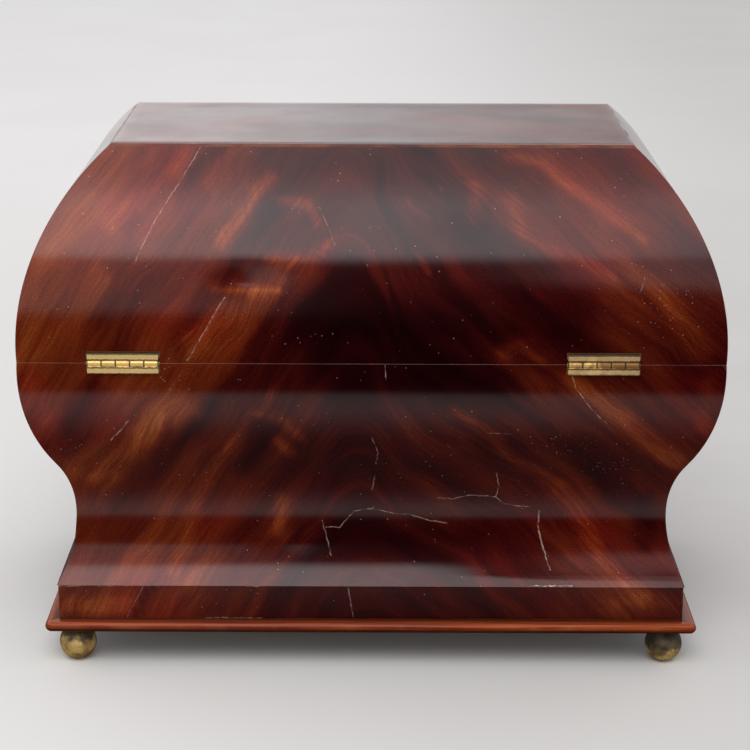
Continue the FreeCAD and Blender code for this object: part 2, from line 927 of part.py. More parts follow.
def lid_lining():
    """The flat pad under the top board."""
    low = top_board_bottom - lining_thickness
    corner_x = face_distance(lid_arc(half_width, lid_wall, seam, low + lining_thickness))
    corner_y = face_distance(lid_arc(half_depth, lid_wall, seam, low + lining_thickness))
    return rounded_outline(
        corner_x - lining_margin, corner_y - lining_margin, lining_corner,
        low, top_board_bottom,
    )


def save(name, shape):
    shape.exportStep(f"parts/{name}.step")


def save_group(name, solids):
    save(name, Part.makeCompound(solids))


def cut_all(shape, tools):
    for tool in tools:
        shape = shape.cut(tool)
    return shape


# What is let into the wood, by the side that it is in
case_back_cuts = [hinge_mortise(place, -1) for place in hinge_places.values()]
lid_back_cuts = [hinge_mortise(place, 1) for place in hinge_places.values()]
case_hinge_screws = []
lid_hinge_screws = []
for place in hinge_places.values():
    case_hinge_screws += hinge_screws(place, -1)
    lid_hinge_screws += hinge_screws(place, 1)
case_front_cuts = [lock_mortise(), keyhole(outside_y(), lock_y())]
case_cuts = {
    "back": case_back_cuts + [screw_hole(*spot) for spot in case_hinge_screws],
    "front": case_front_cuts + [screw_hole(*spot) for spot in lock_screws(-1)],
    "left": [],
    "right": [],
}
lid_cuts = {
    "back": lid_back_cuts + [screw_hole(*spot) for spot in lid_hinge_screws],
    "front": [link_recess()] + [screw_hole(*spot) for spot in lock_screws(1)],
    "left": [],
    "right": [],
}
veneer_cuts = {"back": case_back_cuts, "front": [escutcheon_prism()]}

# Case, plinth and base moulding, one piece to each side
case_banding = []
lid_banding = []
corner_block = rounded_outline(
    half_width - moulding_inset,
    half_depth - moulding_inset,
    moulding_corner_radius,
    moulding_bottom,
    moulding_top,
)
for side in SIDES:
    half = half_of(side)
    core = mitred_strip(side, case_core_section(half))
    save(f"case_{side}", one_solid(cut_all(core, case_cuts[side]), f"case {side}"))
    skin = mitred_strip(side, case_veneer_section(half))
    skin = cut_all(skin, veneer_cuts.get(side, []))
    save(f"case_{side}_veneer", one_solid(skin, f"case veneer {side}"))
    strip = mitred_strip(side, case_banding_section(half))
    case_banding += cut_all(strip, case_cuts[side]).Solids

    plinth = cut_all(mitred_strip(side, plinth_section(half)), spigot_holes())
    save(f"plinth_{side}", one_solid(plinth, f"plinth {side}"))
    moulding = mitred_strip(side, moulding_section(half)).common(corner_block)
    moulding = cut_all(moulding, spigot_holes())
    save(f"base_moulding_{side}", one_solid(moulding, f"base moulding {side}"))

    lid_core = mitred_strip(side, lid_core_section(half))
    lid_core = cut_all(lid_core, lid_cuts[side])
    save(f"lid_{side}", one_solid(lid_core, f"lid {side}"))
    lid_skin = mitred_strip(side, lid_veneer_section(half))
    lid_skin = cut_all(lid_skin, lid_back_cuts if side == "back" else [])
    save(f"lid_{side}_veneer", one_solid(lid_skin, f"lid veneer {side}"))
    lid_strip = mitred_strip(side, lid_banding_section(half))
    lid_banding += cut_all(lid_strip, lid_cuts[side]).Solids
save_group("rim_banding", case_banding)
save_group("lid_rim_banding", lid_banding)

bottom_board = box(
    (-cavity_half_width, -cavity_half_depth, moulding_top),
    (cavity_half_width, cavity_half_depth, bottom_board_top),
)
save("bottom_board", bottom_board)
for corner, (x, y) in foot_centres().items():
    save(f"foot_{corner}", one_solid(foot(x, y), f"foot {corner}"))

# Top of the lid
save("lid_top_board", lid_slice(veneer, top_board_bottom, lid_top - veneer))
top_veneer = lid_slice(0.0, lid_top - veneer, lid_top)
top_edges = [e for e in top_veneer.Edges if e.BoundBox.ZMin > lid_top - veneer / 2]
top_veneer = top_veneer.makeFillet(top_arris, top_edges)
save("lid_top_veneer", one_solid(top_veneer, "top veneer"))
save("lid_lining", lid_lining())

# Hinges and their screws
for name, place in hinge_places.items():
    save(f"hinge_{name}_case_leaf", hinge_leaf(place, -1))
    save(f"hinge_{name}_lid_leaf", hinge_leaf(place, 1))
    save(f"hinge_{name}_pin", hinge_pin(place))
save_group("hinge_screws_case", [screw(*spot) for spot in case_hinge_screws])
save_group("hinge_screws_lid", [screw(*spot) for spot in lid_hinge_screws])

# Lock and key
save("lock_case", lock_case())
save("lock_bolt", lock_bolt())
save_group("lock_screws", [screw(*spot) for spot in lock_screws(-1)])
save("link_plate", link_plate())
save_group("link_plate_screws", [screw(*spot) for spot in lock_screws(1)])
save("escutcheon", escutcheon())
save("key", key())

# Fitted inside
for name, way in (("left", -1), ("right", 1)):
    save(f"partition_{name}", partition(way))
    save(f"canister_{name}", canister(way))
    save(f"canister_{name}_cover", cover(way))
    save(f"canister_{name}_knob", knob(way))
save("bowl_board", bowl_board())
save("bowl", bowl())
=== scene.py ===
# %% [markdown]
# This lesson dresses an antique tea chest. The chest is a swelling box on four brass balls,
# with a domed lid, and every outer face is veneered with flame mahogany under french polish.
# The construction is already settled in the frame, so the first cell loads it and keeps its
# box. Everything is in metres, the hinges are on +Y and the lock is on -Y.

# %% Load the frame
import json
import math
import bmesh
import bpy
import numpy as np
from mathutils import Matrix, Vector, noise


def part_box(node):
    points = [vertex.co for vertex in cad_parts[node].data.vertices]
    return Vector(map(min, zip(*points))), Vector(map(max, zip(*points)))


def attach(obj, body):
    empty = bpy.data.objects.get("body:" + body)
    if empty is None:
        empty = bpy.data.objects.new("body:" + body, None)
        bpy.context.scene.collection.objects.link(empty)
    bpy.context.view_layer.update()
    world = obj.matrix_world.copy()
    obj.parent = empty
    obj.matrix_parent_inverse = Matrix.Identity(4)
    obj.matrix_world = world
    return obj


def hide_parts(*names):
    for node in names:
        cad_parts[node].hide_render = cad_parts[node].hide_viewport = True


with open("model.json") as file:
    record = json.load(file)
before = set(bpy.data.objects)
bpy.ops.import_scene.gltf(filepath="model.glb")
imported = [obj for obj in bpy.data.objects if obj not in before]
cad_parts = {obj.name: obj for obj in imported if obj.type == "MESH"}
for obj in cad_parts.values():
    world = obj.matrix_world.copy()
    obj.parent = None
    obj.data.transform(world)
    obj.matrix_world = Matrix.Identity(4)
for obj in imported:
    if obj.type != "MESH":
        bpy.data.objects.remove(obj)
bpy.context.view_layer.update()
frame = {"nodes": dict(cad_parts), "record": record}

mm = 0.001
print("nodes in the frame:", len(frame["nodes"]))

# %% [markdown]
# The veneers are made again here as finer sheets, because real veneer isn't a row of facets.
# Their levels and half sizes are read from the frame. Only the radii of the outline, which a
# box can't tell, are written again, as they are on the chest.

# %% Levels and outline of the chest
half_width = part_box("case_right_veneer")[1].x
half_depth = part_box("case_back_veneer")[1].y
plinth_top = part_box("case_back_veneer")[0].z
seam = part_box("case_back_veneer")[1].z
lid_curve_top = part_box("lid_back_veneer")[1].z
lid_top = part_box("lid_top_veneer")[1].z
moulding_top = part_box("plinth_back")[0].z
moulding_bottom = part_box("base_moulding_back")[0].z
plinth_out = half_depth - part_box("plinth_back")[1].y
moulding_out = half_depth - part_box("base_moulding_back")[1].y
wall_inset = half_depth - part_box("plinth_back")[0].y
veneer = lid_top - lid_curve_top

waist_inset = 20.4 * mm
waist_height = 32.0 * mm
case_bulge_drop = 4.7 * mm
bulge_share = 0.65
lower_hollow_radius = 57.0 * mm
foot_slope = math.radians(22.9)
lid_bulge_rise = 5.4 * mm
lid_bulge_radius = 106.0 * mm
arris_break = 0.14 * mm

waist_z = plinth_top + waist_height
case_bulge_z = seam - case_bulge_drop
lid_bulge_z = seam + lid_bulge_rise
ogee_rise = case_bulge_z - waist_z
ogee_radii = (waist_inset ** 2 + ogee_rise ** 2) / (2 * waist_inset)
case_bulge_radius = bulge_share * ogee_radii
upper_hollow_radius = ogee_radii - case_bulge_radius
ogee_angle = math.asin(ogee_rise / ogee_radii)
print("seam at", round(seam / mm, 1), "mm, top at", round(lid_top / mm, 1), "mm")

# %% [markdown]
# The camera stands almost a metre behind the chest and a little above it, at the angle of
# the photograph. A long lens keeps the sides straight. The same numbers find the place on
# the back that a pixel of the photograph shows, and the marks in the wood use that.

# %% Camera
photo_size = 750
lens_length = 105.6
sensor_width = 36.0
camera_place = Vector((-1.8, 987.1, 394.0)) * mm
camera_pitch = math.radians(16.03)
camera_yaw = math.radians(0.02)
camera_roll = math.radians(0.21)

camera_data = bpy.data.cameras.new("camera")
camera_data.lens = lens_length
camera_data.sensor_width = sensor_width
camera = bpy.data.objects.new("camera", camera_data)
camera.rotation_mode = "QUATERNION"
camera.location = camera_place
turned = Matrix.Rotation(math.pi + camera_yaw, 3, "Z") @ Matrix.Rotation(math.pi / 2 - camera_pitch, 3, "X")
turned = turned @ Matrix.Rotation(camera_roll, 3, "Z")
camera.rotation_quaternion = turned.to_quaternion()
bpy.context.scene.collection.objects.link(camera)
bpy.context.scene.camera = camera
bpy.context.scene.view_settings.view_transform = "Standard"
print("camera looks along", tuple(round(c, 3) for c in turned @ Vector((0, 0, -1))))

# %% [markdown]
# Every material here is made of nodes. These short helpers place a node, set its values and
# join it up, so that each recipe below reads as a list of what the finish does.

# %% Helpers for nodes
def place_node(tree, kind, inputs=None, **settings):
    """Adds a node, sets its properties, and fills its inputs with sockets or numbers."""
    node = tree.nodes.new(kind)
    for name, value in settings.items():
        setattr(node, name, value)
    for name, value in (inputs or {}).items():
        if isinstance(value, bpy.types.NodeSocket):
            tree.links.new(value, node.inputs[name])
        else:
            node.inputs[name].default_value = value
    return node


def calc(tree, operation, a, b=0.0, c=0.0):
    """One sum on numbers. Only MULTIPLY_ADD uses c."""
    inputs = {0: a, 1: b}
    if operation == "MULTIPLY_ADD":
        inputs[2] = c
    return place_node(tree, "ShaderNodeMath", inputs, operation=operation).outputs[0]


def calc_vector(tree, operation, a, b=(0.0, 0.0, 0.0)):
    """One sum on vectors."""
    inputs = {0: a} if operation in ("LENGTH", "FRACTION", "ABSOLUTE") else {0: a, 1: b}
    node = place_node(tree, "ShaderNodeVectorMath", inputs, operation=operation)
    return node.outputs["Value" if operation in ("LENGTH", "DOT_PRODUCT", "DISTANCE") else "Vector"]


def fade(tree, value, start, end, low=0.0, high=1.0):
    """Goes smoothly from low to high as value goes from start to end."""
    inputs = {"Value": value, "From Min": start, "From Max": end, "To Min": low, "To Max": high}
    kind = {"interpolation_type": "SMOOTHSTEP", "clamp": False}
    return place_node(tree, "ShaderNodeMapRange", inputs, **kind).outputs[0]


def cloud(tree, vector, scale, detail=2.0, roughness=0.5):
    """Soft random values about one half, at this many lumps to the unit."""
    inputs = {"Vector": vector, "Scale": scale, "Detail": detail, "Roughness": roughness}
    return place_node(tree, "ShaderNodeTexNoise", inputs)


def blend_colours(tree, share, first, second, kind="MIX"):
    node = place_node(tree, "ShaderNodeMix", data_type="RGBA", blend_type=kind)
    for index, value in ((0, share), (6, first), (7, second)):
        if isinstance(value, bpy.types.NodeSocket):
            tree.links.new(value, node.inputs[index])
        else:
            node.inputs[index].default_value = value
    return node.outputs[2]


def colour_ramp(tree, value, stops):
    """Turns a value into a colour, by stops of place and colour."""
    node = place_node(tree, "ShaderNodeValToRGB", {0: value})
    ramp = node.color_ramp
    while len(ramp.elements) < len(stops):
        ramp.elements.new(0.5)
    for element, (place, colour) in zip(ramp.elements, stops):
        element.position = place
        element.color = (*colour, 1.0)
    return node.outputs[0]


def new_group(name, inputs, outputs):
    """A node group with named inputs and outputs, and its two end nodes."""
    tree = bpy.data.node_groups.new(name, "ShaderNodeTree")
    for label, kind, value in inputs:
        socket = tree.interface.new_socket(label, in_out="INPUT", socket_type=kind)
        if value is not None:
            socket.default_value = value
    for label, kind in outputs:
        tree.interface.new_socket(label, in_out="OUTPUT", socket_type=kind)
    return tree, tree.nodes.new("NodeGroupInput"), tree.nodes.new("NodeGroupOutput")


def use_group(tree, group, inputs):
    """Places a group in a material, with its own values."""
    node = tree.nodes.new("ShaderNodeGroup")
    node.node_tree = group
    for name, value in inputs.items():
        if isinstance(value, bpy.types.NodeSocket):
            tree.links.new(value, node.inputs[name])
        else:
            node.inputs[name].default_value = value
    return node


def object_place(tree):
    return place_node(tree, "ShaderNodeTexCoord").outputs["Object"]


NUMBER, COLOUR, VECTOR = "NodeSocketFloat", "NodeSocketColor", "NodeSocketVector"
print("helpers ready")

# %% [markdown]
# Flame mahogany is cut where a trunk forks. Its figure is a feather: stripes that fall away
# to both sides from a central line, broken by short curls. The group bends the plane with
# slow noise, folds it about the central line, and stretches finer and finer noise along the
# fallen stripes. It gives a tone from dark to light, and the relief of the open pores.

# %% Flame figure
def flame_group():
    tree, source, result = new_group(
        "flame figure",
        [
            ("Place", VECTOR, None),
            ("Axis", NUMBER, 0.0),
            ("Fall left", NUMBER, 1.6),
            ("Fall right", NUMBER, 1.0),
            ("Light left", NUMBER, 0.2),
            ("Light right", NUMBER, 0.2),
            ("Seed", NUMBER, 0.0),
        ],
        [("Tone", NUMBER), ("Fibre", NUMBER), ("Pores", NUMBER)],
    )
    place = calc_vector(tree, "SCALE", source.outputs["Place"])
    place.node.inputs["Scale"].default_value = 1000.0
    seed = place_node(tree, "ShaderNodeCombineXYZ", {"Z": source.outputs["Seed"]}).outputs[0]
    seeded = calc_vector(tree, "ADD", place, seed)
    slow = cloud(tree, seeded, 0.011, 3.0).outputs["Color"]
    bend = calc_vector(tree, "MULTIPLY", calc_vector(tree, "SUBTRACT", slow, (0.5, 0.5, 0.5)), (30.0, 26.0, 0.0))
    quick = cloud(tree, seeded, 0.05, 2.0).outputs["Color"]
    shake = calc_vector(tree, "MULTIPLY", calc_vector(tree, "SUBTRACT", quick, (0.5, 0.5, 0.5)), (4.0, 6.0, 0.0))
    bent = calc_vector(tree, "ADD", calc_vector(tree, "ADD", place, bend), shake)
    parts = place_node(tree, "ShaderNodeSeparateXYZ", {0: bent})
    off = calc(tree, "SUBTRACT", parts.outputs[0], source.outputs["Axis"])
    away = calc(tree, "SQRT", calc(tree, "MULTIPLY_ADD", off, off, 150.0))
    side = fade(tree, off, -18.0, 18.0)

    def either(right, left):
        """The value for this side of the central line."""
        mixed = place_node(tree, "ShaderNodeMix", data_type="FLOAT")
        for index, value in ((0, side), (2, source.outputs[right]), (3, source.outputs[left])):
            tree.links.new(value, mixed.inputs[index])
        return mixed.outputs[0]

    fall = either("Fall right", "Fall left")
    length = calc(tree, "SQRT", calc(tree, "MULTIPLY_ADD", fall, fall, 1.0))
    across = calc(tree, "DIVIDE", calc(tree, "MULTIPLY_ADD", fall, away, parts.outputs[1]), length)
    along = calc(tree, "DIVIDE", calc(tree, "MULTIPLY_ADD", fall, calc(tree, "MULTIPLY", parts.outputs[1], -1.0), away), length)

    def stripes(width, reach, detail, rough=0.55):
        """Noise that is stretched along the stripes."""
        flat = place_node(
            tree,
            "ShaderNodeCombineXYZ",
            {
                "X": calc(tree, "DIVIDE", across, width),
                "Y": calc(tree, "DIVIDE", along, reach),
                "Z": source.outputs["Seed"],
            },
        ).outputs[0]
        return calc(tree, "SUBTRACT", cloud(tree, flat, 1.0, detail, rough).outputs[0], 0.5)

    broad = stripes(22.0, 110.0, 2.0)
    medium = stripes(7.0, 60.0, 2.0)
    thin = stripes(1.6, 26.0, 3.0)
    hair = stripes(0.55, 7.0, 2.0)
    sides = fade(tree, calc(tree, "ABSOLUTE", off), 16.0, 95.0)
    sides = calc(tree, "MULTIPLY", sides, either("Light right", "Light left"))
    tone = calc(tree, "MULTIPLY_ADD", broad, 0.64, calc(tree, "ADD", sides, 0.30))
    tone = calc(tree, "MULTIPLY_ADD", medium, 0.36, tone)
    tone = calc(tree, "MULTIPLY_ADD", thin, 0.20, tone)
    tone = calc(tree, "MULTIPLY_ADD", hair, 0.10, tone)
    stipple = calc(tree, "SUBTRACT", cloud(tree, place, 1.5, 2.0).outputs[0], 0.5)
    tone = calc(tree, "MULTIPLY_ADD", stipple, 0.27, tone)
    pore_noise = stripes(0.30, 1.6, 1.0)
    pores = fade(tree, pore_noise, 0.10, 0.22)
    tree.links.new(tone, result.inputs["Tone"])
    tree.links.new(calc(tree, "ADD", thin, calc(tree, "MULTIPLY", hair, 0.5)), result.inputs["Fibre"])
    tree.links.new(pores, result.inputs["Pores"])
    return tree


flame = flame_group()
print("flame figure:", len(flame.nodes), "nodes")

# %% [markdown]
# Some marks belong to one place: the light streaks in the figure, the dark heart, and the
# hairline cracks in the old polish. Each is a soft stroke between two points of the veneer.
# The group gives one where the surface is on the stroke's line and zero past its width.

# %% A soft stroke between two points
def stroke_group():
    tree, source, result = new_group(
        "soft stroke",
        [
            ("Place", VECTOR, None),
            ("From", VECTOR, None),
            ("To", VECTOR, None),
            ("Width", NUMBER, 1.0),
        ],
        [("Mask", NUMBER)],
    )
    reach = calc_vector(tree, "SUBTRACT", source.outputs["Place"], source.outputs["From"])
    whole = calc_vector(tree, "SUBTRACT", source.outputs["To"], source.outputs["From"])
    part = calc_vector(tree, "DOT_PRODUCT", reach, whole)
    share = calc(tree, "DIVIDE", part, calc_vector(tree, "DOT_PRODUCT", whole, whole))
    share = calc(tree, "MINIMUM", calc(tree, "MAXIMUM", share, 0.0), 1.0)
    nearest = calc_vector(tree, "SCALE", whole)
    tree.links.new(share, nearest.node.inputs["Scale"])
    gap = calc_vector(tree, "DISTANCE", reach, nearest)
    mask = fade(tree, gap, source.outputs["Width"], 0.0)
    tree.links.new(mask, result.inputs["Mask"])
    return tree


stroke = stroke_group()

# %% [markdown]
# An outline is drawn upwards in the plane across a side: a point, then straight runs and
# turns about centres, each turn a spin of its last point. Spinning without an angle but with
# a step then repeats the outline along the side, which makes a sheet of even faces.

# %% Drawing an outline and sweeping it
sheet_step = 2.6 * mm


def last_point(found):
    return [v for v in found if isinstance(v, bmesh.types.BMVert)][0]


def line_to(bm, tip, out, up):
    """A straight run from the tip to a point of the outline."""
    new = bmesh.ops.extrude_vert_indiv(bm, verts=[tip])["verts"][0]
    new.co = (tip.co.x, out, up)
    return new


def turn_about(bm, tip, out, up, angle, steps=None):
    """A round run from the tip about a centre, as even steps."""
    radius = math.hypot(tip.co.y - out, tip.co.z - up)
    steps = steps or max(2, round(radius * abs(angle) / sheet_step))
    spun = bmesh.ops.spin(
        bm, geom=[tip], cent=(tip.co.x, out, up), axis=(1, 0, 0), angle=angle, steps=steps
    )
    return last_point(spun["geom_last"])


def case_outline(half):
    """The case from the plinth up to the seam: foot, hollow, upper hollow and bulge."""
    waist = half - waist_inset
    lower_out = waist + lower_hollow_radius
    start_out = lower_out - lower_hollow_radius * math.cos(foot_slope)
    start_up = waist_z - lower_hollow_radius * math.sin(foot_slope)
    foot_out = start_out + (start_up - plinth_top) * math.tan(foot_slope)
    bm = bmesh.new()
    tip = bm.verts.new((0.0, foot_out, plinth_top))
    for share in (0.25, 0.5, 0.75, 1.0):
        out = foot_out + share * (start_out - foot_out)
        tip = line_to(bm, tip, out, plinth_top + share * (start_up - plinth_top))
    tip = turn_about(bm, tip, lower_out, waist_z, -foot_slope)
    tip = turn_about(bm, tip, waist + upper_hollow_radius, waist_z, -ogee_angle)
    top_angle = math.asin((seam - case_bulge_z) / case_bulge_radius)
    turn_about(bm, tip, half - case_bulge_radius, case_bulge_z, ogee_angle + top_angle)
    return bm


def lid_outline(half):
    """The lid from the seam up to the top board, all one arc."""
    low = math.asin((seam - lid_bulge_z) / lid_bulge_radius)
    high = math.asin((lid_curve_top - lid_bulge_z) / lid_bulge_radius)
    bm = bmesh.new()
    out = half - lid_bulge_radius
    start = (0.0, out + lid_bulge_radius * math.cos(low), seam)
    turn_about(bm, bm.verts.new(start), out, lid_bulge_z, high - low)
    return bm


def measure_outline(bm, girth=0.0):
    """The outline as rows of height, distance outwards and length along the curve."""
    corners = sorted((v.co.copy() for v in bm.verts), key=lambda co: co.z)
    rows = [(corners[0].z, corners[0].y, girth)]
    for before, after in zip(corners, corners[1:]):
        girth += (after - before).length
        rows.append((after.z, after.y, girth))
    return rows


def read_row(rows, height, column):
    """Reads an outline at a height, between its two nearest rows."""
    for low, high in zip(rows, rows[1:]):
        if height <= high[0]:
            break
    share = (height - low[0]) / (high[0] - low[0])
    return low[column] + (high[column] - low[column]) * share


def sweep(bm, length):
    """Repeats the outline along X, and turns the faces of the sheet outwards."""
    steps = round(length / sheet_step)
    bmesh.ops.translate(bm, verts=bm.verts, vec=(-length / 2, 0, 0))
    bmesh.ops.spin(
        bm, geom=bm.verts[:] + bm.edges[:], cent=(0, 0, 0), axis=(1, 0, 0),
        dvec=(length / steps, 0, 0), angle=0.0, steps=steps,
    )
    bmesh.ops.remove_doubles(bm, verts=bm.verts, dist=0.001 * mm)
    bmesh.ops.recalc_face_normals(bm, faces=bm.faces)
    if sum(face.normal.y for face in bm.faces) < 0:
        bmesh.ops.reverse_faces(bm, faces=bm.faces)


case_rows = measure_outline(case_outline(half_depth), plinth_top - moulding_top)
lid_rows = measure_outline(lid_outline(half_depth), case_rows[-1][2])
print("girth of the case", round(case_rows[-1][2] / mm, 1), "mm, with the lid", round(lid_rows[-1][2] / mm, 1), "mm")

# %% [markdown]
# A real veneer lies on a curved ground that a joiner shaped by eye, so it is never quite
# true, and long reflections show it. Each sheet is pushed in and out by slow noise of a
# fraction of a millimetre. The push fades out near the edges, where sheets meet.

# %% Cutting and finishing a sheet
def cut_out(bm, low, high):
    """Cuts a rectangle out of a sheet, between two places along X and two heights."""
    margin = 2 * sheet_step
    for co, no in (
        ((low[0], 0, 0), (1, 0, 0)),
        ((high[0], 0, 0), (1, 0, 0)),
        ((0, 0, low[1]), (0, 0, 1)),
        ((0, 0, high[1]), (0, 0, 1)),
    ):
        near = [
            face for face in bm.faces
            if low[0] - margin < face.calc_center_median().x < high[0] + margin
            and low[1] - margin < face.calc_center_median().z < high[1] + margin
        ]
        geometry = near + list({e for f in near for e in f.edges}) + list({v for f in near for v in f.verts})
        bmesh.ops.bisect_plane(bm, geom=geometry, plane_co=co, plane_no=no, dist=0.0001 * mm)
    inside = [
        face for face in bm.faces
        if low[0] < face.calc_center_median().x < high[0]
        and low[1] < face.calc_center_median().z < high[1]
    ]
    bmesh.ops.delete(bm, geom=inside, context="FACES")


def mitre(bm, setback, trims=(0.0, 0.0)):
    """Cuts both ends at 45 degrees and closes them. A trim leaves an end that much short."""
    for way, trim in zip((-1, 1), trims):
        cut = bmesh.ops.bisect_plane(
            bm, geom=bm.verts[:] + bm.edges[:] + bm.faces[:], dist=0.0001 * mm,
            plane_co=(0, setback + trim, 0), plane_no=(way, -1, 0), clear_outer=True,
        )
        rim = [e for e in cut["geom_cut"] if isinstance(e, bmesh.types.BMEdge)]
        bmesh.ops.holes_fill(bm, edges=rim, sides=0)


def smoothstep(value):
    value = min(max(value, 0.0), 1.0)
    return value * value * (3 - 2 * value)


def to_object(bm, name, material, angle=0.0):
    """Turns a bmesh about Z into place and makes it an object with soft shading."""
    bmesh.ops.rotate(bm, verts=bm.verts, cent=(0, 0, 0), matrix=Matrix.Rotation(angle, 3, "Z"))
    mesh = bpy.data.meshes.new(name)
    bm.to_mesh(mesh)
    bm.free()
    mesh.shade_smooth()
    mesh.set_sharp_from_angle(angle=math.radians(20))
    mesh.materials.append(material)
    piece = bpy.data.objects.new(name, mesh)
    bpy.context.scene.collection.objects.link(piece)
    return piece


def stand_for(piece, node, body):
    """The piece rides on a body in place of a node, which is hidden."""
    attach(piece, body)
    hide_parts(node)


SIDE_TURNS = {"back": 0.0, "left": math.pi / 2, "front": math.pi, "right": -math.pi / 2}


def half_of(side):
    return half_width if side in ("left", "right") else half_depth


def setback_of(side):
    other = half_depth if side in ("left", "right") else half_width
    return half_of(side) - other


print("sides:", *SIDE_TURNS)

# %% [markdown]
# The photograph shows the back, so its own streaks are placed there by pixel. A ray from the
# camera through the pixel is followed to the outline, which gives the place across the chest
# and the length along the curve. Veneer is laid by that length, so stripes keep their slope.

# %% From a pixel to a place on the back
focal_pixels = photo_size * lens_length / sensor_width
surface_tries = 25


def on_back(pixel):
    """The place on the back veneers under a pixel, as distance across and girth."""
    across = (pixel[0] - photo_size / 2) / focal_pixels
    down = (pixel[1] - photo_size / 2) / focal_pixels
    ray = turned @ Vector((across, -down, -1.0))
    out = half_depth
    for _ in range(surface_tries):
        spot = camera_place + ray * ((out - camera_place.y) / ray.y)
        rows = lid_rows if spot.z > seam else case_rows
        height = min(max(spot.z, rows[0][0]), rows[-1][0])
        out = read_row(rows, height, 1)
    below = min(spot.z - plinth_top, 0.0)
    return Vector((spot.x, read_row(rows, height, 2) + below, 0.0))


print("left hinge is at x", round(on_back((122.5, 364)).x / mm, 1), "mm")

# %% [markdown]
# The streaks of the flame on this leaf, the dark hearts between them, the dusty places and
# the cracks in the polish are short runs of pixels, each with a width in millimetres and a
# strength. Streaks and dust are soft, so the vertices of a sheet can carry them.

# %% Marks on the back
streaks = {
    "lid, from the top left": ([(190, 150), (160, 186), (118, 228)], 9.0, 0.13),
    "lid, short": ([(248, 148), (210, 182)], 6.0, 0.12),
    "lid, bright": ([(270, 176), (246, 206), (222, 240)], 5.0, 0.24),
    "lid, dark beside it": ([(170, 184), (143, 224), (112, 268)], 7.0, -0.18),
    "lid, bend": ([(280, 199), (306, 196), (320, 222)], 4.0, 0.22),
    "lid, dark heart": ([(268, 214), (262, 232)], 11.0, -0.11),
    "lid, foot of the heart": ([(268, 256), (306, 258), (322, 246)], 5.0, 0.22),
    "lid, warm fall": ([(296, 272), (246, 306), (206, 344)], 12.0, 0.17),
    "lid, warm fall inside": ([(224, 300), (178, 362)], 5.0, 0.10),
    "lid, crimson": ([(250, 330), (232, 360)], 8.0, 0.08),
    "lid, left edge": ([(112, 152), (52, 215), (26, 300), (22, 352)], 14.0, 0.03),
    "lid, left field": ([(130, 230), (110, 330)], 40.0, 0.07),
    # A painted highlight: a pale streak of lighter tone where the lid catches the light.
    "lid, painted highlight": ([(214, 284), (276, 289)], 3.2, 0.22),
    "lid, dark left": ([(120, 300), (104, 350)], 13.0, -0.08),
    "lid, centre": ([(330, 332), (560, 330)], 24.0, -0.20),
    "lid, centre top": ([(340, 215), (480, 240)], 16.0, -0.05),
    "lid, curl": ([(405, 200), (420, 212), (431, 223)], 2.2, 0.20),
    "lid, thin curl": ([(441, 188), (431, 210)], 1.4, 0.18),
    "lid, low curl": ([(417, 258), (424, 272)], 1.8, 0.22),
    "lid, hooked curl": ([(474, 184), (478, 204), (468, 224)], 4.0, 0.16),
    "lid, right": ([(506, 160), (543, 168), (586, 196), (640, 232)], 5.0, 0.14),
    "lid, right lower": ([(507, 204), (523, 237), (560, 256), (612, 284)], 6.0, 0.12),
    "lid, right end": ([(660, 290), (680, 330), (704, 352)], 10.0, 0.12),
    "lid, red by the seam": ([(506, 352), (524, 340), (540, 356)], 6.0, 0.20),
    "case, wide": ([(186, 404), (150, 424), (98, 478)], 11.0, 0.20),
    "case, dark band": ([(212, 402), (150, 472), (118, 510)], 9.0, -0.14),
    "case, narrow": ([(266, 398), (224, 448), (199, 500), (172, 566)], 6.0, 0.17),
    "case, dark heart": ([(262, 430), (244, 470)], 11.0, -0.15),
    "case, red curl": ([(277, 437), (290, 452)], 4.0, 0.20),
    "case, brow": ([(262, 412), (284, 420), (302, 440)], 3.5, 0.16),
    "case, drop": ([(284, 496), (277, 528)], 6.0, 0.18),
    "case, left edge": ([(34, 384), (50, 430), (70, 470)], 9.0, 0.08),
    "case, dark left": ([(92, 382), (62, 452)], 6.0, -0.14),
    "case, low left": ([(216, 552), (190, 584)], 6.0, 0.12),
    "case, right fall": ([(572, 384), (606, 404), (676, 462)], 8.5, 0.20),
    "case, right inner": ([(456, 414), (500, 436), (512, 462), (556, 482)], 6.5, 0.17),
    "case, right tail": ([(556, 490), (590, 530), (612, 562), (640, 600)], 6.0, 0.20),
    "case, dark right": ([(584, 446), (612, 500)], 14.0, -0.09),
    "case, dark low right": ([(640, 500), (650, 540)], 9.0, -0.16),
    "case, centre": ([(330, 380), (500, 384)], 16.0, -0.14),
    "case, dark foot": ([(330, 540), (470, 545)], 15.0, -0.08),
    "case, right edge": ([(714, 376), (704, 430)], 7.0, 0.12),
    "case, warm middle": ([(330, 432), (460, 440)], 20.0, 0.07),
    "plinth, left": ([(62, 606), (128, 604)], 7.0, 0.22),
    "plinth, dark past the joint": ([(152, 588), (134, 618)], 3.5, -0.16),
    "plinth, right": ([(612, 602), (676, 606)], 8.0, 0.12),
}
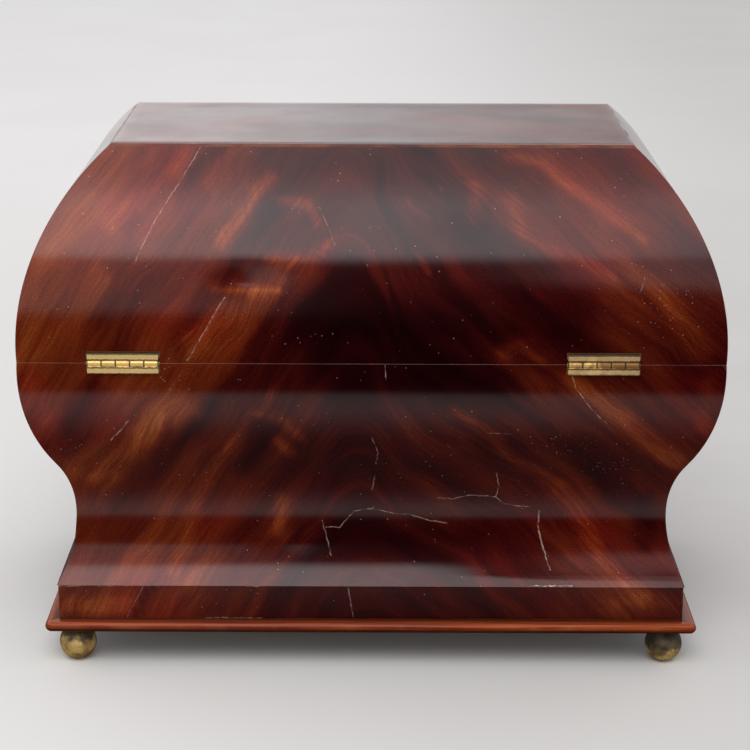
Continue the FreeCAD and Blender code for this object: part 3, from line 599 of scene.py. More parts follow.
cracks = {
    "lid, long": ([(201, 147), (181, 180), (153, 224), (134, 264)], 0.32, 0.55),
    "lid, low": ([(225, 297), (210, 322), (187, 361)], 0.38, 0.75),
    "lid, fine": ([(319, 207), (327, 224), (335, 245)], 0.34, 0.25),
    "lid, right": ([(645, 278), (640, 293)], 0.3, 0.5),
    "case, left": ([(128, 421), (121, 430), (111, 440)], 0.5, 0.75),
    "case, from the hinge": ([(571, 374), (577, 390), (588, 405), (600, 418), (607, 424)], 0.36, 0.7),
    "case, under the seam": ([(385, 365), (386, 380)], 0.34, 0.6),
    "case, centre": ([(372, 438), (378, 452), (376, 464)], 0.4, 0.45),
    "case, centre low": ([(375, 475), (372, 490)], 0.4, 0.45),
    "case, scratch": ([(489, 433), (512, 434)], 0.25, 0.5),
    "waist, left leg": ([(322, 520), (326, 534), (331, 556)], 0.38, 0.6),
    "waist, left": ([(326, 527), (340, 527), (354, 511), (371, 508), (396, 514)], 0.34, 0.65),
    "waist, middle": ([(396, 514), (408, 514), (431, 521), (448, 523)], 0.34, 0.65),
    "waist, upper": ([(438, 498), (453, 499), (469, 495), (496, 497)], 0.30, 0.6),
    "waist, branch": ([(496, 472), (499, 486), (496, 497), (504, 504), (530, 507)], 0.34, 0.65),
    "waist, right": ([(539, 511), (538, 526), (541, 541), (550, 570)], 0.50, 0.9),
    "plinth": ([(348, 588), (350, 600), (353, 617)], 0.36, 0.6),
    "plinth, joint": ([(143, 587), (127, 617)], 0.3, 0.45),
    "foot edge, left end": ([(58, 587), (86, 586)], 0.32, 0.9),
    "foot edge, left": ([(98, 586.5), (176, 586)], 0.26, 0.6),
    "foot edge, chip": ([(247, 586.5), (263, 586.5)], 0.34, 1.0),
    "foot edge, right": ([(529, 586), (572, 586)], 0.34, 1.0),
    "plinth foot, middle": ([(206, 618), (262, 618.5)], 0.3, 0.7),
}
dusty_places = {
    "below the left hinge": ([(170, 378), (186, 382)], 9.0, 1.0),
    "lid, low": ([(296, 340), (320, 343)], 3.5, 0.9),
    "lid, right": ([(650, 290), (690, 320)], 14.0, 0.5),
    "case, right": ([(560, 450), (620, 470)], 16.0, 0.5),
    "case, left": ([(60, 440), (80, 470)], 12.0, 0.4),
    "foot": ([(274, 562), (280, 572)], 3.0, 0.8),
}
print(len(streaks), "streaks,", len(cracks), "cracks,", len(dusty_places), "dusty places")

# %% Reading the soft marks at a place
def stroke_sum(spots, marks):
    """Adds up soft strokes at many places of the veneer, in millimetres."""
    total = np.zeros(len(spots))
    for runs, width, strength in marks.values():
        ends = [np.array(on_back(pixel)[:2]) / mm for pixel in runs]
        gap = np.full(len(spots), width)
        for first, second in zip(ends, ends[1:]):
            whole = second - first
            share = np.clip((spots - first) @ whole / (whole @ whole), 0.0, 1.0)
            away = np.linalg.norm(spots - first - share[:, None] * whole, axis=1)
            gap = np.minimum(gap, away)
        depth = 1.0 - gap / width
        total += strength * depth * depth * (3.0 - 2.0 * depth)
    return total


def wobble(spot):
    """Moves a place a little, so that a stroke read there has a natural outline."""
    slow = noise.noise_vector(Vector((spot[0] * 0.035, spot[1] * 0.035, 1.0)))
    quick = noise.noise_vector(Vector((spot[0] * 0.13, spot[1] * 0.13, 4.0)))
    return spot[0] + 4.5 * slow.x + 1.6 * quick.x, spot[1] + 4.5 * slow.y + 1.6 * quick.y


print("tone under the wide streak:", stroke_sum(np.array([on_back((150, 424))[:2]]) / mm, streaks).round(2))

# %% [markdown]
# The cracks are too fine for vertices, so the material draws them. They are added up in one
# group. Each crack is broken up along its length, because the filler in it has partly gone.

# %% Cracks as one group
def cracks_group():
    tree, source, result = new_group("cracks of the leaf", [("Place", VECTOR, None)], [("Mask", NUMBER)])
    place = calc_vector(tree, "SCALE", source.outputs["Place"])
    place.node.inputs["Scale"].default_value = 1000.0
    crisp = cloud(tree, place, 0.4, 3.0).outputs["Color"]
    jog = calc_vector(tree, "MULTIPLY", calc_vector(tree, "SUBTRACT", crisp, (0.5, 0.5, 0.5)), (1.3, 1.3, 0.0))
    jogged = calc_vector(tree, "ADD", place, jog)
    total = 0.0
    for runs, width, strength in cracks.values():
        whole = None
        spots = [on_back(pixel) / mm for pixel in runs]
        for first, second in zip(spots, spots[1:]):
            inputs = {"Place": jogged, "From": first, "To": second, "Width": width}
            mask = use_group(tree, stroke, inputs).outputs[0]
            whole = mask if whole is None else calc(tree, "MAXIMUM", whole, mask)
        total = calc(tree, "MULTIPLY_ADD", whole, strength, total)
    broken = fade(tree, cloud(tree, place, 0.35, 3.0).outputs[0], 0.38, 0.60, 0.15, 1.0)
    tree.links.new(calc(tree, "MULTIPLY", total, broken), result.inputs["Mask"])
    return tree


crack_lines = cracks_group()
print("cracks group:", len(crack_lines.nodes), "nodes")

# %% [markdown]
# Old polish is thin and pale where hands and dusters have rubbed it, which is along every
# edge, and dust sits in its pores as pale specks. Each vertex of a sheet carries its distance
# from the nearest edge, and the group turns that into a broken line of wear, which is also a
# painted highlight along the edge.

# %% Worn edges with a painted highlight, and specks
def wear_and_highlight_group():
    tree, source, result = new_group(
        "edge wear and highlight",
        [("Place", VECTOR, None), ("Edge", NUMBER, 1.0), ("Reach", NUMBER, 0.4), ("Cover", NUMBER, 0.5)],
        [("Mask", NUMBER)],
    )
    place = calc_vector(tree, "SCALE", source.outputs["Place"])
    place.node.inputs["Scale"].default_value = 1000.0
    ragged = calc(tree, "SUBTRACT", cloud(tree, place, 0.8, 3.0).outputs[0], 0.5)
    gap = calc(tree, "MULTIPLY_ADD", ragged, 0.5, calc(tree, "MULTIPLY", source.outputs["Edge"], 1000.0))
    # A broken pale line along each edge: wear, and a painted highlight where the edge catches the light.
    line = fade(tree, gap, source.outputs["Reach"], 0.0)
    patchy = calc(tree, "ADD", cloud(tree, place, 0.05, 2.0).outputs[0], source.outputs["Cover"])
    tree.links.new(calc(tree, "MULTIPLY", line, fade(tree, patchy, 0.85, 1.1)), result.inputs["Mask"])
    return tree


def specks_group():
    tree, source, result = new_group(
        "pale specks",
        [("Place", VECTOR, None), ("Scale", NUMBER, 0.8), ("Amount", NUMBER, 0.02)],
        [("Mask", NUMBER)],
    )
    place = calc_vector(tree, "SCALE", source.outputs["Place"])
    place.node.inputs["Scale"].default_value = 1000.0
    cells = place_node(tree, "ShaderNodeTexVoronoi", {"Vector": place, "Scale": source.outputs["Scale"]})
    parts = place_node(tree, "ShaderNodeSeparateColor", {0: cells.outputs["Color"]})
    chosen = calc(tree, "LESS_THAN", parts.outputs[0], source.outputs["Amount"])
    size = calc(tree, "MULTIPLY_ADD", parts.outputs[1], 0.28, 0.16)
    dot = fade(tree, cells.outputs["Distance"], size, 0.0)
    tree.links.new(calc(tree, "MULTIPLY", dot, chosen), result.inputs["Mask"])
    return tree


worn_edge_highlight = wear_and_highlight_group()
pale_specks = specks_group()

# %% [markdown]
# The veneer's finish puts these together. Its colours go from near black through crimson
# and red brown to orange, with slow crimson patches. The polish is glossy and nearly smooth:
# only the pores and a fine ripple give relief, and its gloss is uneven.

# %% Veneer finish
MAHOGANY = [
    (0.00, (0.007, 0.0004, 0.0006)),
    (0.20, (0.019, 0.0009, 0.0014)),
    (0.36, (0.048, 0.0034, 0.0026)),
    (0.50, (0.096, 0.0100, 0.0036)),
    (0.64, (0.165, 0.0240, 0.0056)),
    (0.80, (0.280, 0.0600, 0.0130)),
    (1.00, (0.410, 0.1250, 0.0350)),
]
# Worn edges take this colour, which is also a painted highlight along them.
BARE_WOOD_AND_HIGHLIGHT = (0.19, 0.085, 0.05, 1.0)
CRACK_FILL = (0.58, 0.40, 0.32, 1.0)
DUST = (0.52, 0.36, 0.29, 1.0)


def new_material(name):
    material = bpy.data.materials.new(name)
    material.use_nodes = True
    tree = material.node_tree
    tree.nodes.clear()
    shader = tree.nodes.new("ShaderNodeBsdfPrincipled")
    output = tree.nodes.new("ShaderNodeOutputMaterial")
    tree.links.new(shader.outputs[0], output.inputs[0])
    return material, tree, shader


def polish(shader, lustre, haze):
    """Clear french polish over wood whose fibres shine a little, like silk."""
    shader.inputs["Metallic"].default_value = lustre
    shader.inputs["Specular IOR Level"].default_value = 0.0
    shader.inputs["Coat Roughness"].default_value = haze
    shader.inputs["Coat IOR"].default_value = 1.5


def veneer_finish(name, figure_inputs, lift=0.0, cracked=False):
    """Polished flame veneer. lift lightens the whole leaf."""
    material, tree, shader = new_material(name)
    place = place_node(tree, "ShaderNodeUVMap", uv_map="lay").outputs[0]
    figure = use_group(tree, flame, {"Place": place, **figure_inputs}).outputs
    carried = {
        label: place_node(tree, "ShaderNodeAttribute", attribute_name=label).outputs["Fac"]
        for label in ("edge", "streak", "dust")
    }
    broken = calc(tree, "MULTIPLY_ADD", figure["Fibre"], 1.6, 1.0)
    tone = calc(tree, "MULTIPLY_ADD", carried["streak"], broken, calc(tree, "ADD", figure["Tone"], lift))
    wood = colour_ramp(tree, tone, MAHOGANY)
    crimson = blend_colours(tree, 1.0, wood, (1.0, 0.45, 0.75, 1.0), "MULTIPLY")
    red = cloud(tree, place, 16.0, 2.0).outputs[0]
    wood = blend_colours(tree, fade(tree, red, 0.50, 0.64, 0.0, 0.75), wood, crimson)
    wood = blend_colours(tree, calc(tree, "MULTIPLY", figure["Pores"], 0.5), wood, (0.006, 0.001, 0.001, 1.0))
    # Edges turn pale: wear, and a painted highlight where they catch the light.
    worn_and_highlight = {"Place": place, "Edge": carried["edge"], "Reach": 0.2, "Cover": 0.47}
    worn_and_highlight = use_group(tree, worn_edge_highlight, worn_and_highlight).outputs[0]
    wood = blend_colours(tree, calc(tree, "MULTIPLY", worn_and_highlight, 0.8), wood, BARE_WOOD_AND_HIGHLIGHT)
    dusty = calc(tree, "MULTIPLY_ADD", carried["dust"], 0.3, 0.011)
    specks = use_group(tree, pale_specks, {"Place": place, "Scale": 1.1, "Amount": dusty}).outputs[0]
    wood = blend_colours(tree, calc(tree, "MULTIPLY", specks, 0.9), wood, DUST)
    if cracked:
        lines = use_group(tree, crack_lines, {"Place": place}).outputs[0]
        wood = blend_colours(tree, calc(tree, "MULTIPLY", lines, 0.85), wood, CRACK_FILL)
    tree.links.new(wood, shader.inputs["Base Color"])
    dull = cloud(tree, place, 30.0, 3.0).outputs[0]
    tree.links.new(fade(tree, dull, 0.35, 0.7, 0.38, 0.50), shader.inputs["Roughness"])
    bare = calc(tree, "MULTIPLY_ADD", worn_and_highlight, -0.8, fade(tree, dull, 0.3, 0.8, 1.0, 0.88))
    tree.links.new(calc(tree, "MAXIMUM", bare, 0.0), shader.inputs["Coat Weight"])
    polish(shader, 0.5, 0.11)
    peel = cloud(tree, place, 420.0, 2.0).outputs[0]
    height = calc(tree, "MULTIPLY_ADD", figure["Pores"], -0.6, calc(tree, "MULTIPLY", peel, 0.5))
    bump = place_node(tree, "ShaderNodeBump", {"Height": height, "Strength": 0.35, "Distance": 0.00004})
    tree.links.new(bump.outputs[0], shader.inputs["Normal"])
    return material


def leaf(axis, seed, falls, lights):
    """The inputs of the flame figure for one leaf. The axis is in millimetres."""
    return {
        "Axis": axis, "Seed": seed, "Fall left": falls[0], "Fall right": falls[1],
        "Light left": lights[0], "Light right": lights[1],
    }


back_finish = veneer_finish("flame_veneer_back", leaf(-2.0, 3.0, (1.7, 0.95), (0.24, 0.13)), cracked=True)
front_finish = veneer_finish("flame_veneer_front", leaf(4.0, 11.0, (1.6, 1.1), (0.2, 0.14)))
end_finish = veneer_finish("flame_veneer_ends", leaf(0.0, 24.0, (1.8, 1.7), (0.16, 0.16)), lift=0.08)
top_finish = veneer_finish("flame_veneer_top", leaf(6.0, 37.0, (1.1, 0.8), (0.1, 0.1)), lift=0.12)
VENEERS = {"back": back_finish, "front": front_finish, "left": end_finish, "right": end_finish}
print("veneer finishes:", *(m.name for m in VENEERS.values()))

# %% [markdown]
# Now the sheets themselves: eight veneers, each swept from its outline, the back ones notched
# for the hinges, made wavy, thickened inwards and mitred at both ends.

# %% Veneer sheets
hinge_boxes = {}
for name in ("left", "right"):
    low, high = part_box(f"hinge_{name}_pin")
    hinge_boxes[name] = (low.x - 0.25 * mm, high.x + 0.25 * mm)
hinge_mouth = {"case": seam - 4.4 * mm, "lid": seam + 5.1 * mm}
margin = 6 * mm
ripple_height = 0.16 * mm
ripple_size = 55 * mm
ripple_bias = 0.6
mitre_share = 0.5
edge_fade = 9 * mm


def edge_distance(co, rows, half, setback):
    """How far a point of a sheet is from the sheet's nearest long edge or mitre."""
    ends = abs(co.y - setback) - abs(co.x)
    return max(min(co.z - rows[0][0], rows[-1][0] - co.z, ends * mitre_share), 0.0)


# The back's own unevenness: a foot that is flatter towards -X, and two shallow hollows,
# each as pixel, half length, half height and depth in millimetres.
foot_flare = 0.85 * mm
flare_peak = 12.0 * mm
flare_height = 27.0 * mm
flare_end = -0.088
flare_taper = 0.075
hollows = {"lid": ((248, 279), 11.0, 3.8, 0.75), "case": ((284, 545), 9.0, 3.2, 0.26)}


def unevenness(part, side, co, girth):
    """How far a point of a sheet is pushed inwards by its own shape."""
    push = 0.0
    rise = co.z - plinth_top
    if part == "case" and 0 < rise < flare_height:
        kept = 1.0
        if side == "back":
            kept = smoothstep((co.x - flare_end) / flare_taper)
        elif side == "left":
            kept = smoothstep((half_depth - wall_inset - co.x) / 0.04)
        back_again = smoothstep((flare_height - rise) / (flare_height - flare_peak))
        left_to_go = max(1.0 - rise / flare_peak, 0.0) ** 2
        hollow = kept * (1.0 - left_to_go) * back_again
        flat = (1.0 - kept) * left_to_go
        push += foot_flare * (hollow + flat)
    if side == "back":
        pixel, length, height, depth = hollows[part]
        away = (Vector((co.x, girth, 0.0)) - on_back(pixel)) / mm
        push += depth * mm * math.exp(-((away.x / length) ** 2) - (away.y / height) ** 2)
    return push


def ripple(bm, part, side, rows, half, setback):
    """Pushes a sheet in and out with slow noise, but not at its edges."""
    bm.normal_update()
    seed = len(part) + len(side) * 1.7
    for vert in bm.verts:
        held = smoothstep(edge_distance(vert.co, rows, half, setback) / edge_fade)
        spot = Vector((vert.co.x * 0.7 / ripple_size, vert.co.z / ripple_size, seed))
        push = ripple_height * held * (noise.noise(spot) - ripple_bias)
        push -= unevenness(part, side, vert.co, read_row(rows, vert.co.z, 2))
        vert.co += vert.normal * push


def lay_and_edge(bm, rows, half, setback, side):
    """Writes the lay as a UV map, and on each vertex its distance from an edge and its marks."""
    lay = bm.loops.layers.uv.new("lay")
    edge, streak, dust = (bm.verts.layers.float.new(name) for name in ("edge", "streak", "dust"))
    girths = {}
    for vert in bm.verts:
        vert[edge] = edge_distance(vert.co, rows, half, setback)
        height = min(max(vert.co.z, rows[0][0]), rows[-1][0])
        girths[vert] = read_row(rows, height, 2)
    if side in ("back", "front"):
        spots = np.array([wobble((vert.co.x / mm, girth / mm)) for vert, girth in girths.items()])
        found = zip(girths, stroke_sum(spots, streaks), stroke_sum(spots, dusty_places))
        for vert, tone, dusty in found:
            vert[streak] = tone
            vert[dust] = dusty
    for face in bm.faces:
        for loop in face.loops:
            loop[lay].uv = (loop.vert.co.x, girths[loop.vert])


def soften(bm, edges, width):
    bmesh.ops.bevel(
        bm, geom=edges, offset=width, offset_type="OFFSET", segments=2, profile=0.5,
        affect="EDGES", material=-1, clamp_overlap=True,
    )


def veneer_sheet(part, side):
    """One veneer of the case or the lid, built facing the back and turned to its side."""
    half, setback = half_of(side), setback_of(side)
    draw = case_outline if part == "case" else lid_outline
    rows = measure_outline(draw(half), 0.0 if part == "case" else case_rows[-1][2])
    if part == "case":
        rows = [(z, out, girth + plinth_top - moulding_top) for z, out, girth in rows]
    bm = draw(half)
    sweep(bm, 2 * (half - setback + margin))
    if side == "back":
        levels = sorted((hinge_mouth[part], seam + (margin if part == "case" else -margin)))
        for low, high in hinge_boxes.values():
            cut_out(bm, (low, levels[0]), (high, levels[1]))
    ripple(bm, part, side, rows, half, setback)
    bmesh.ops.solidify(bm, geom=bm.faces[:], thickness=veneer)
    mitre(bm, setback)
    seam_edge = [
        e for e in bm.edges
        if all(abs(v.co.z - seam) < 0.01 * mm and v.co.y > half - veneer / 2 for v in e.verts)
    ]
    soften(bm, seam_edge, arris_break)
    lay_and_edge(bm, rows, half, setback, side)
    piece = to_object(bm, f"{part}_veneer_{side}", VENEERS[side], SIDE_TURNS[side])
    stand_for(piece, f"{part}_{side}_veneer", part)
    return piece


for part in ("case", "lid"):
    for side in SIDE_TURNS:
        piece = veneer_sheet(part, side)
        print(piece.name, len(piece.data.polygons), "faces")

# %% [markdown]
# The top veneer lies flat on its board. It starts as a fine grid, its border is pulled down
# and out to meet the sides, and the border's upper edge is rounded over, as years of
# polishing have done.

# %% Top veneer
top_arris = 0.5 * mm


def dome_half(half, height):
    """Half the width of the lid at a height, from its arc."""
    return half - lid_bulge_radius + math.sqrt(lid_bulge_radius ** 2 - (height - lid_bulge_z) ** 2)


def border(bm):
    return [e for e in bm.edges if e.is_boundary]


def top_sheet():
    upper = (dome_half(half_width, lid_top), dome_half(half_depth, lid_top))
    lower = (dome_half(half_width, lid_curve_top), dome_half(half_depth, lid_curve_top))
    bm = bmesh.new()
    bmesh.ops.create_grid(bm, x_segments=56, y_segments=28, size=1.0)
    bmesh.ops.scale(bm, vec=(upper[0], upper[1], 1.0), verts=bm.verts)
    bmesh.ops.translate(bm, vec=(0, 0, lid_top), verts=bm.verts)
    rim = border(bm)
    pulled = bmesh.ops.extrude_edge_only(bm, edges=rim)["geom"]
    down = [v for v in pulled if isinstance(v, bmesh.types.BMVert)]
    bmesh.ops.scale(bm, vec=(lower[0] / upper[0], lower[1] / upper[1], 1.0), verts=down)
    bmesh.ops.translate(bm, vec=(0, 0, lid_curve_top - lid_top), verts=down)
    bmesh.ops.holes_fill(bm, edges=border(bm), sides=0)
    bmesh.ops.recalc_face_normals(bm, faces=bm.faces)
    soften(bm, rim, top_arris)
    lay = bm.loops.layers.uv.new("lay")
    edge = bm.verts.layers.float.new("edge")
    for vert in bm.verts:
        inward = min(upper[0] - abs(vert.co.x), upper[1] - abs(vert.co.y))
        vert[edge] = max(inward, 0.0) if vert.co.z > lid_curve_top + veneer / 2 else 0.0
        held = smoothstep(inward / (2 * edge_fade))
        spot = Vector((vert.co.x, vert.co.y, 0.0)) / (1.3 * ripple_size)
        vert.co.z += ripple_height * held * (noise.noise(spot) - ripple_bias)
    for face in bm.faces:
        for loop in face.loops:
            loop[lay].uv = (loop.vert.co.x, -loop.vert.co.y)
    bm.verts.layers.float.new("streak")
    bm.verts.layers.float.new("dust")
    piece = to_object(bm, "lid_veneer_top", top_finish)
    stand_for(piece, "lid_top_veneer", "lid")
    return piece


print(top_sheet().name, "is", round(2 * dome_half(half_width, lid_top) / mm, 1), "mm wide")

# %% [markdown]
# The plinth is four upright strips under the case. A closed outline is swept into a bar, and
# both ends are mitred. The photograph shows one joint of the back strip standing open: the
# strip has shrunk, so that end is cut a millimetre short.

# %% Plinth strips
open_joint = 1.0 * mm
plinth_arris = 0.45 * mm
plinth_rows = [(moulding_top, 0.0, 0.0), (plinth_top, 0.0, plinth_top - moulding_top)]


def plinth_strip(side):
    half, setback = half_of(side), setback_of(side)
    outer, inner = half - plinth_out, half - wall_inset
    bm = bmesh.new()
    first = bm.verts.new((0.0, inner, moulding_top))
    tip = line_to(bm, first, outer, moulding_top)
    for share in (0.25, 0.5, 0.75, 1.0):
        tip = line_to(bm, tip, outer, moulding_top + share * (plinth_top - moulding_top))
    tip = line_to(bm, tip, inner, plinth_top)
    bmesh.ops.contextual_create(bm, geom=[tip, first])
    sweep(bm, 2 * (half - setback + margin))
    mitre(bm, setback, (open_joint if side == "back" else 0.0, 0.0))
    bmesh.ops.recalc_face_normals(bm, faces=bm.faces)
    ridge = [
        e for e in bm.edges
        if all(v.co.z > plinth_top - 0.01 * mm and v.co.y > outer - 0.01 * mm for v in e.verts)
    ]
    soften(bm, ridge, plinth_arris)
    for vert in bm.verts:
        if vert.co.y > outer - 1.0 * mm:
            held = smoothstep((abs(vert.co.y - setback) - abs(vert.co.x)) / edge_fade)
            wave = noise.noise(Vector((vert.co.x * 22, vert.co.z * 40, 5.0)))
            vert.co.y += 0.12 * mm * held * (wave - ripple_bias)
    lay_and_edge(bm, plinth_rows, outer, setback, side)
    piece = to_object(bm, f"plinth_strip_{side}", VENEERS[side], SIDE_TURNS[side])
    stand_for(piece, f"plinth_{side}", "case")
    return piece


for side in SIDE_TURNS:
    print(plinth_strip(side).name)

# %% [markdown]
# The base moulding is a flat strip with a round nose. Half a circle is spun once, repeated
# along the side and spun round the corners, and its two edges are drawn in to the inner wall.
# It is plainer, more orange wood than the veneer, with its grain along the strip.

# %% Base moulding
corner_radius = 3.0 * mm
moulding_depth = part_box("base_moulding_back")[1].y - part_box("base_moulding_back")[0].y


def last_edges(found):
    return [g for g in found if isinstance(g, (bmesh.types.BMVert, bmesh.types.BMEdge))]


def moulding_finish():
    material, tree, shader = new_material("moulding_mahogany_polished")
    place = place_node(tree, "ShaderNodeUVMap", uv_map="lay").outputs[0]
    long_grain = calc_vector(tree, "MULTIPLY", place, (22.0, 900.0, 1.0))
    grain = cloud(tree, long_grain, 1.0, 4.0).outputs[0]
    slow = cloud(tree, place, 9.0, 2.0).outputs[0]
    tone = calc(tree, "MULTIPLY_ADD", grain, 0.8, calc(tree, "MULTIPLY", slow, 0.5))
    wood = colour_ramp(
        tree, tone,
        [(0.35, (0.055, 0.006, 0.002)), (0.6, (0.19, 0.027, 0.006)), (0.9, (0.36, 0.080, 0.018))],
    )
    edge = place_node(tree, "ShaderNodeAttribute", attribute_name="edge").outputs["Fac"]
    # The front of the nose turns paler: wear, and a painted highlight.
    worn_and_highlight = use_group(tree, worn_edge_highlight, {"Place": place, "Edge": edge, "Reach": 0.9, "Cover": 0.38}).outputs[0]
    wood = blend_colours(tree, calc(tree, "MULTIPLY", worn_and_highlight, 0.45), wood, (0.36, 0.13, 0.055, 1.0))
    specks = use_group(tree, pale_specks, {"Place": place, "Scale": 0.9, "Amount": 0.01}).outputs[0]
    wood = blend_colours(tree, specks, wood, DUST)
    # Painted shade: the lower half of the nose darkens towards the bottom, which faces away from the light, and the
    # ledge darkens next to the plinth.
    height = place_node(tree, "ShaderNodeSeparateXYZ", {0: object_place(tree)}).outputs[2]
    grime_and_shade = fade(tree, height, moulding_bottom + 2.8 * mm, moulding_bottom + 1.2 * mm, 0.0, 0.85)
    ledge = calc(tree, "MULTIPLY_ADD", slow, 0.003, edge)
    grime_and_shade = calc(tree, "MAXIMUM", grime_and_shade, fade(tree, ledge, 0.0042, 0.0062, 0.0, 0.8))
    wood = blend_colours(tree, grime_and_shade, wood, (0.035, 0.005, 0.002, 1.0))
    tree.links.new(wood, shader.inputs["Base Color"])
    tree.links.new(fade(tree, grain, 0.3, 0.7, 0.38, 0.5), shader.inputs["Roughness"])
    tree.links.new(fade(tree, slow, 0.3, 0.7, 0.55, 0.30), shader.inputs["Coat Weight"])
    polish(shader, 0.4, 0.16)
    bump = place_node(tree, "ShaderNodeBump", {"Height": grain, "Strength": 0.3, "Distance": 0.00006})
    tree.links.new(bump.outputs[0], shader.inputs["Normal"])
    return material


moulding_wood = moulding_finish()


def moulding_strip(side):
    half = half_of(side)
    setback = setback_of(side)
    nose = (moulding_top - moulding_bottom) / 2
    outer = half - moulding_out
    inner = outer - moulding_depth
    centre = outer - corner_radius
    straight = centre - setback
    bm = bmesh.new()
    tip = bm.verts.new((-straight, outer - nose, moulding_bottom))
    turn_about(bm, tip, outer - nose, moulding_bottom + nose, math.pi, 12)
    section = bm.verts[:] + bm.edges[:]
    bmesh.ops.spin(bm, geom=section, cent=(-straight, centre, 0), axis=(0, 0, 1), angle=math.pi / 4, steps=6)
    steps = round(2 * straight / sheet_step)
    spun = bmesh.ops.spin(
        bm, geom=section, cent=(0, 0, 0), axis=(0, 0, 1), dvec=(2 * straight / steps, 0, 0),
        angle=0.0, steps=steps,
    )
    bmesh.ops.spin(
        bm, geom=last_edges(spun["geom_last"]), cent=(straight, centre, 0), axis=(0, 0, 1),
        angle=-math.pi / 4, steps=6,
    )
    bmesh.ops.remove_doubles(bm, verts=bm.verts, dist=0.001 * mm)
    drawn = []
    for height in (moulding_bottom, moulding_top):
        lip = [e for e in border(bm) if all(abs(v.co.z - height) < 0.01 * mm for v in e.verts)]
        reach = max(abs(v.co.x) for e in lip for v in e.verts)
        pulled = bmesh.ops.extrude_edge_only(bm, edges=lip)["geom"]
        for vert in [g for g in pulled if isinstance(g, bmesh.types.BMVert)]:
            vert.co = (vert.co.x * (inner - setback) / reach, inner, height)
        drawn += [g for g in pulled if isinstance(g, bmesh.types.BMEdge)]
    bmesh.ops.bridge_loops(bm, edges=drawn)
    bmesh.ops.holes_fill(bm, edges=border(bm), sides=0)
    bmesh.ops.recalc_face_normals(bm, faces=bm.faces)
    lay = bm.loops.layers.uv.new("lay")
    edge = bm.verts.layers.float.new("edge")
    for vert in bm.verts:
        vert[edge] = max(outer - vert.co.y, 0.0)
    for face in bm.faces:
        for loop in face.loops:
            co = loop.vert.co
            loop[lay].uv = (co.x, co.z + outer - co.y)
    piece = to_object(bm, f"moulding_strip_{side}", moulding_wood, SIDE_TURNS[side])
    stand_for(piece, f"base_moulding_{side}", "case")
    return piece


for side in SIDE_TURNS:
    print(moulding_strip(side).name)

# %% [markdown]
# Inside, the chest is plain: the walls are stained softwood, the canisters are polished
# mahogany lined with tinfoil, and the grain of a board runs along it. One recipe makes each
# of these woods, with the grain turned to X, Y or Z.

# %% Plain woods
GRAIN_STRETCH = {"X": (14.0, 210.0, 210.0), "Y": (210.0, 14.0, 210.0), "Z": (210.0, 210.0, 14.0)}


def wood_colour(tree, place, direction, stops):
    """Straight grain along one axis: its colour and its relief."""
    bend = cloud(tree, place, 14.0, 2.0).outputs["Color"]
    bent = calc_vector(tree, "ADD", place, calc_vector(tree, "MULTIPLY", bend, (0.012, 0.012, 0.012)))
    stretched = calc_vector(tree, "MULTIPLY", bent, GRAIN_STRETCH[direction])
    broad = cloud(tree, stretched, 1.0, 3.0).outputs[0]
    fibres = cloud(tree, stretched, 7.0, 2.0).outputs[0]
    tone = calc(tree, "MULTIPLY_ADD", fibres, 0.35, calc(tree, "MULTIPLY", broad, 0.65))
    return colour_ramp(tree, tone, stops), fibres


def plain_wood(name, direction, stops, gloss):
    material, tree, shader = new_material(name)
    place = object_place(tree)
    wood, fibres = wood_colour(tree, place, direction, stops)
    grime_and_shade = fade(tree, cloud(tree, place, 25.0, 4.0).outputs[0], 0.5, 0.75, 0.0, 0.5)
    wood = blend_colours(tree, grime_and_shade, wood, (0.05, 0.025, 0.012, 1.0))
    tree.links.new(wood, shader.inputs["Base Color"])
    tree.links.new(fade(tree, fibres, 0.3, 0.7, gloss, gloss + 0.15), shader.inputs["Roughness"])
    bump = place_node(tree, "ShaderNodeBump", {"Height": fibres, "Strength": 0.4, "Distance": 0.0001})
    tree.links.new(bump.outputs[0], shader.inputs["Normal"])
    return material


SOFTWOOD = [(0.3, (0.16, 0.075, 0.032)), (0.55, (0.34, 0.18, 0.085)), (0.8, (0.47, 0.29, 0.15))]
POLISHED = [(0.3, (0.035, 0.008, 0.004)), (0.52, (0.13, 0.034, 0.014)), (0.8, (0.30, 0.105, 0.042))]


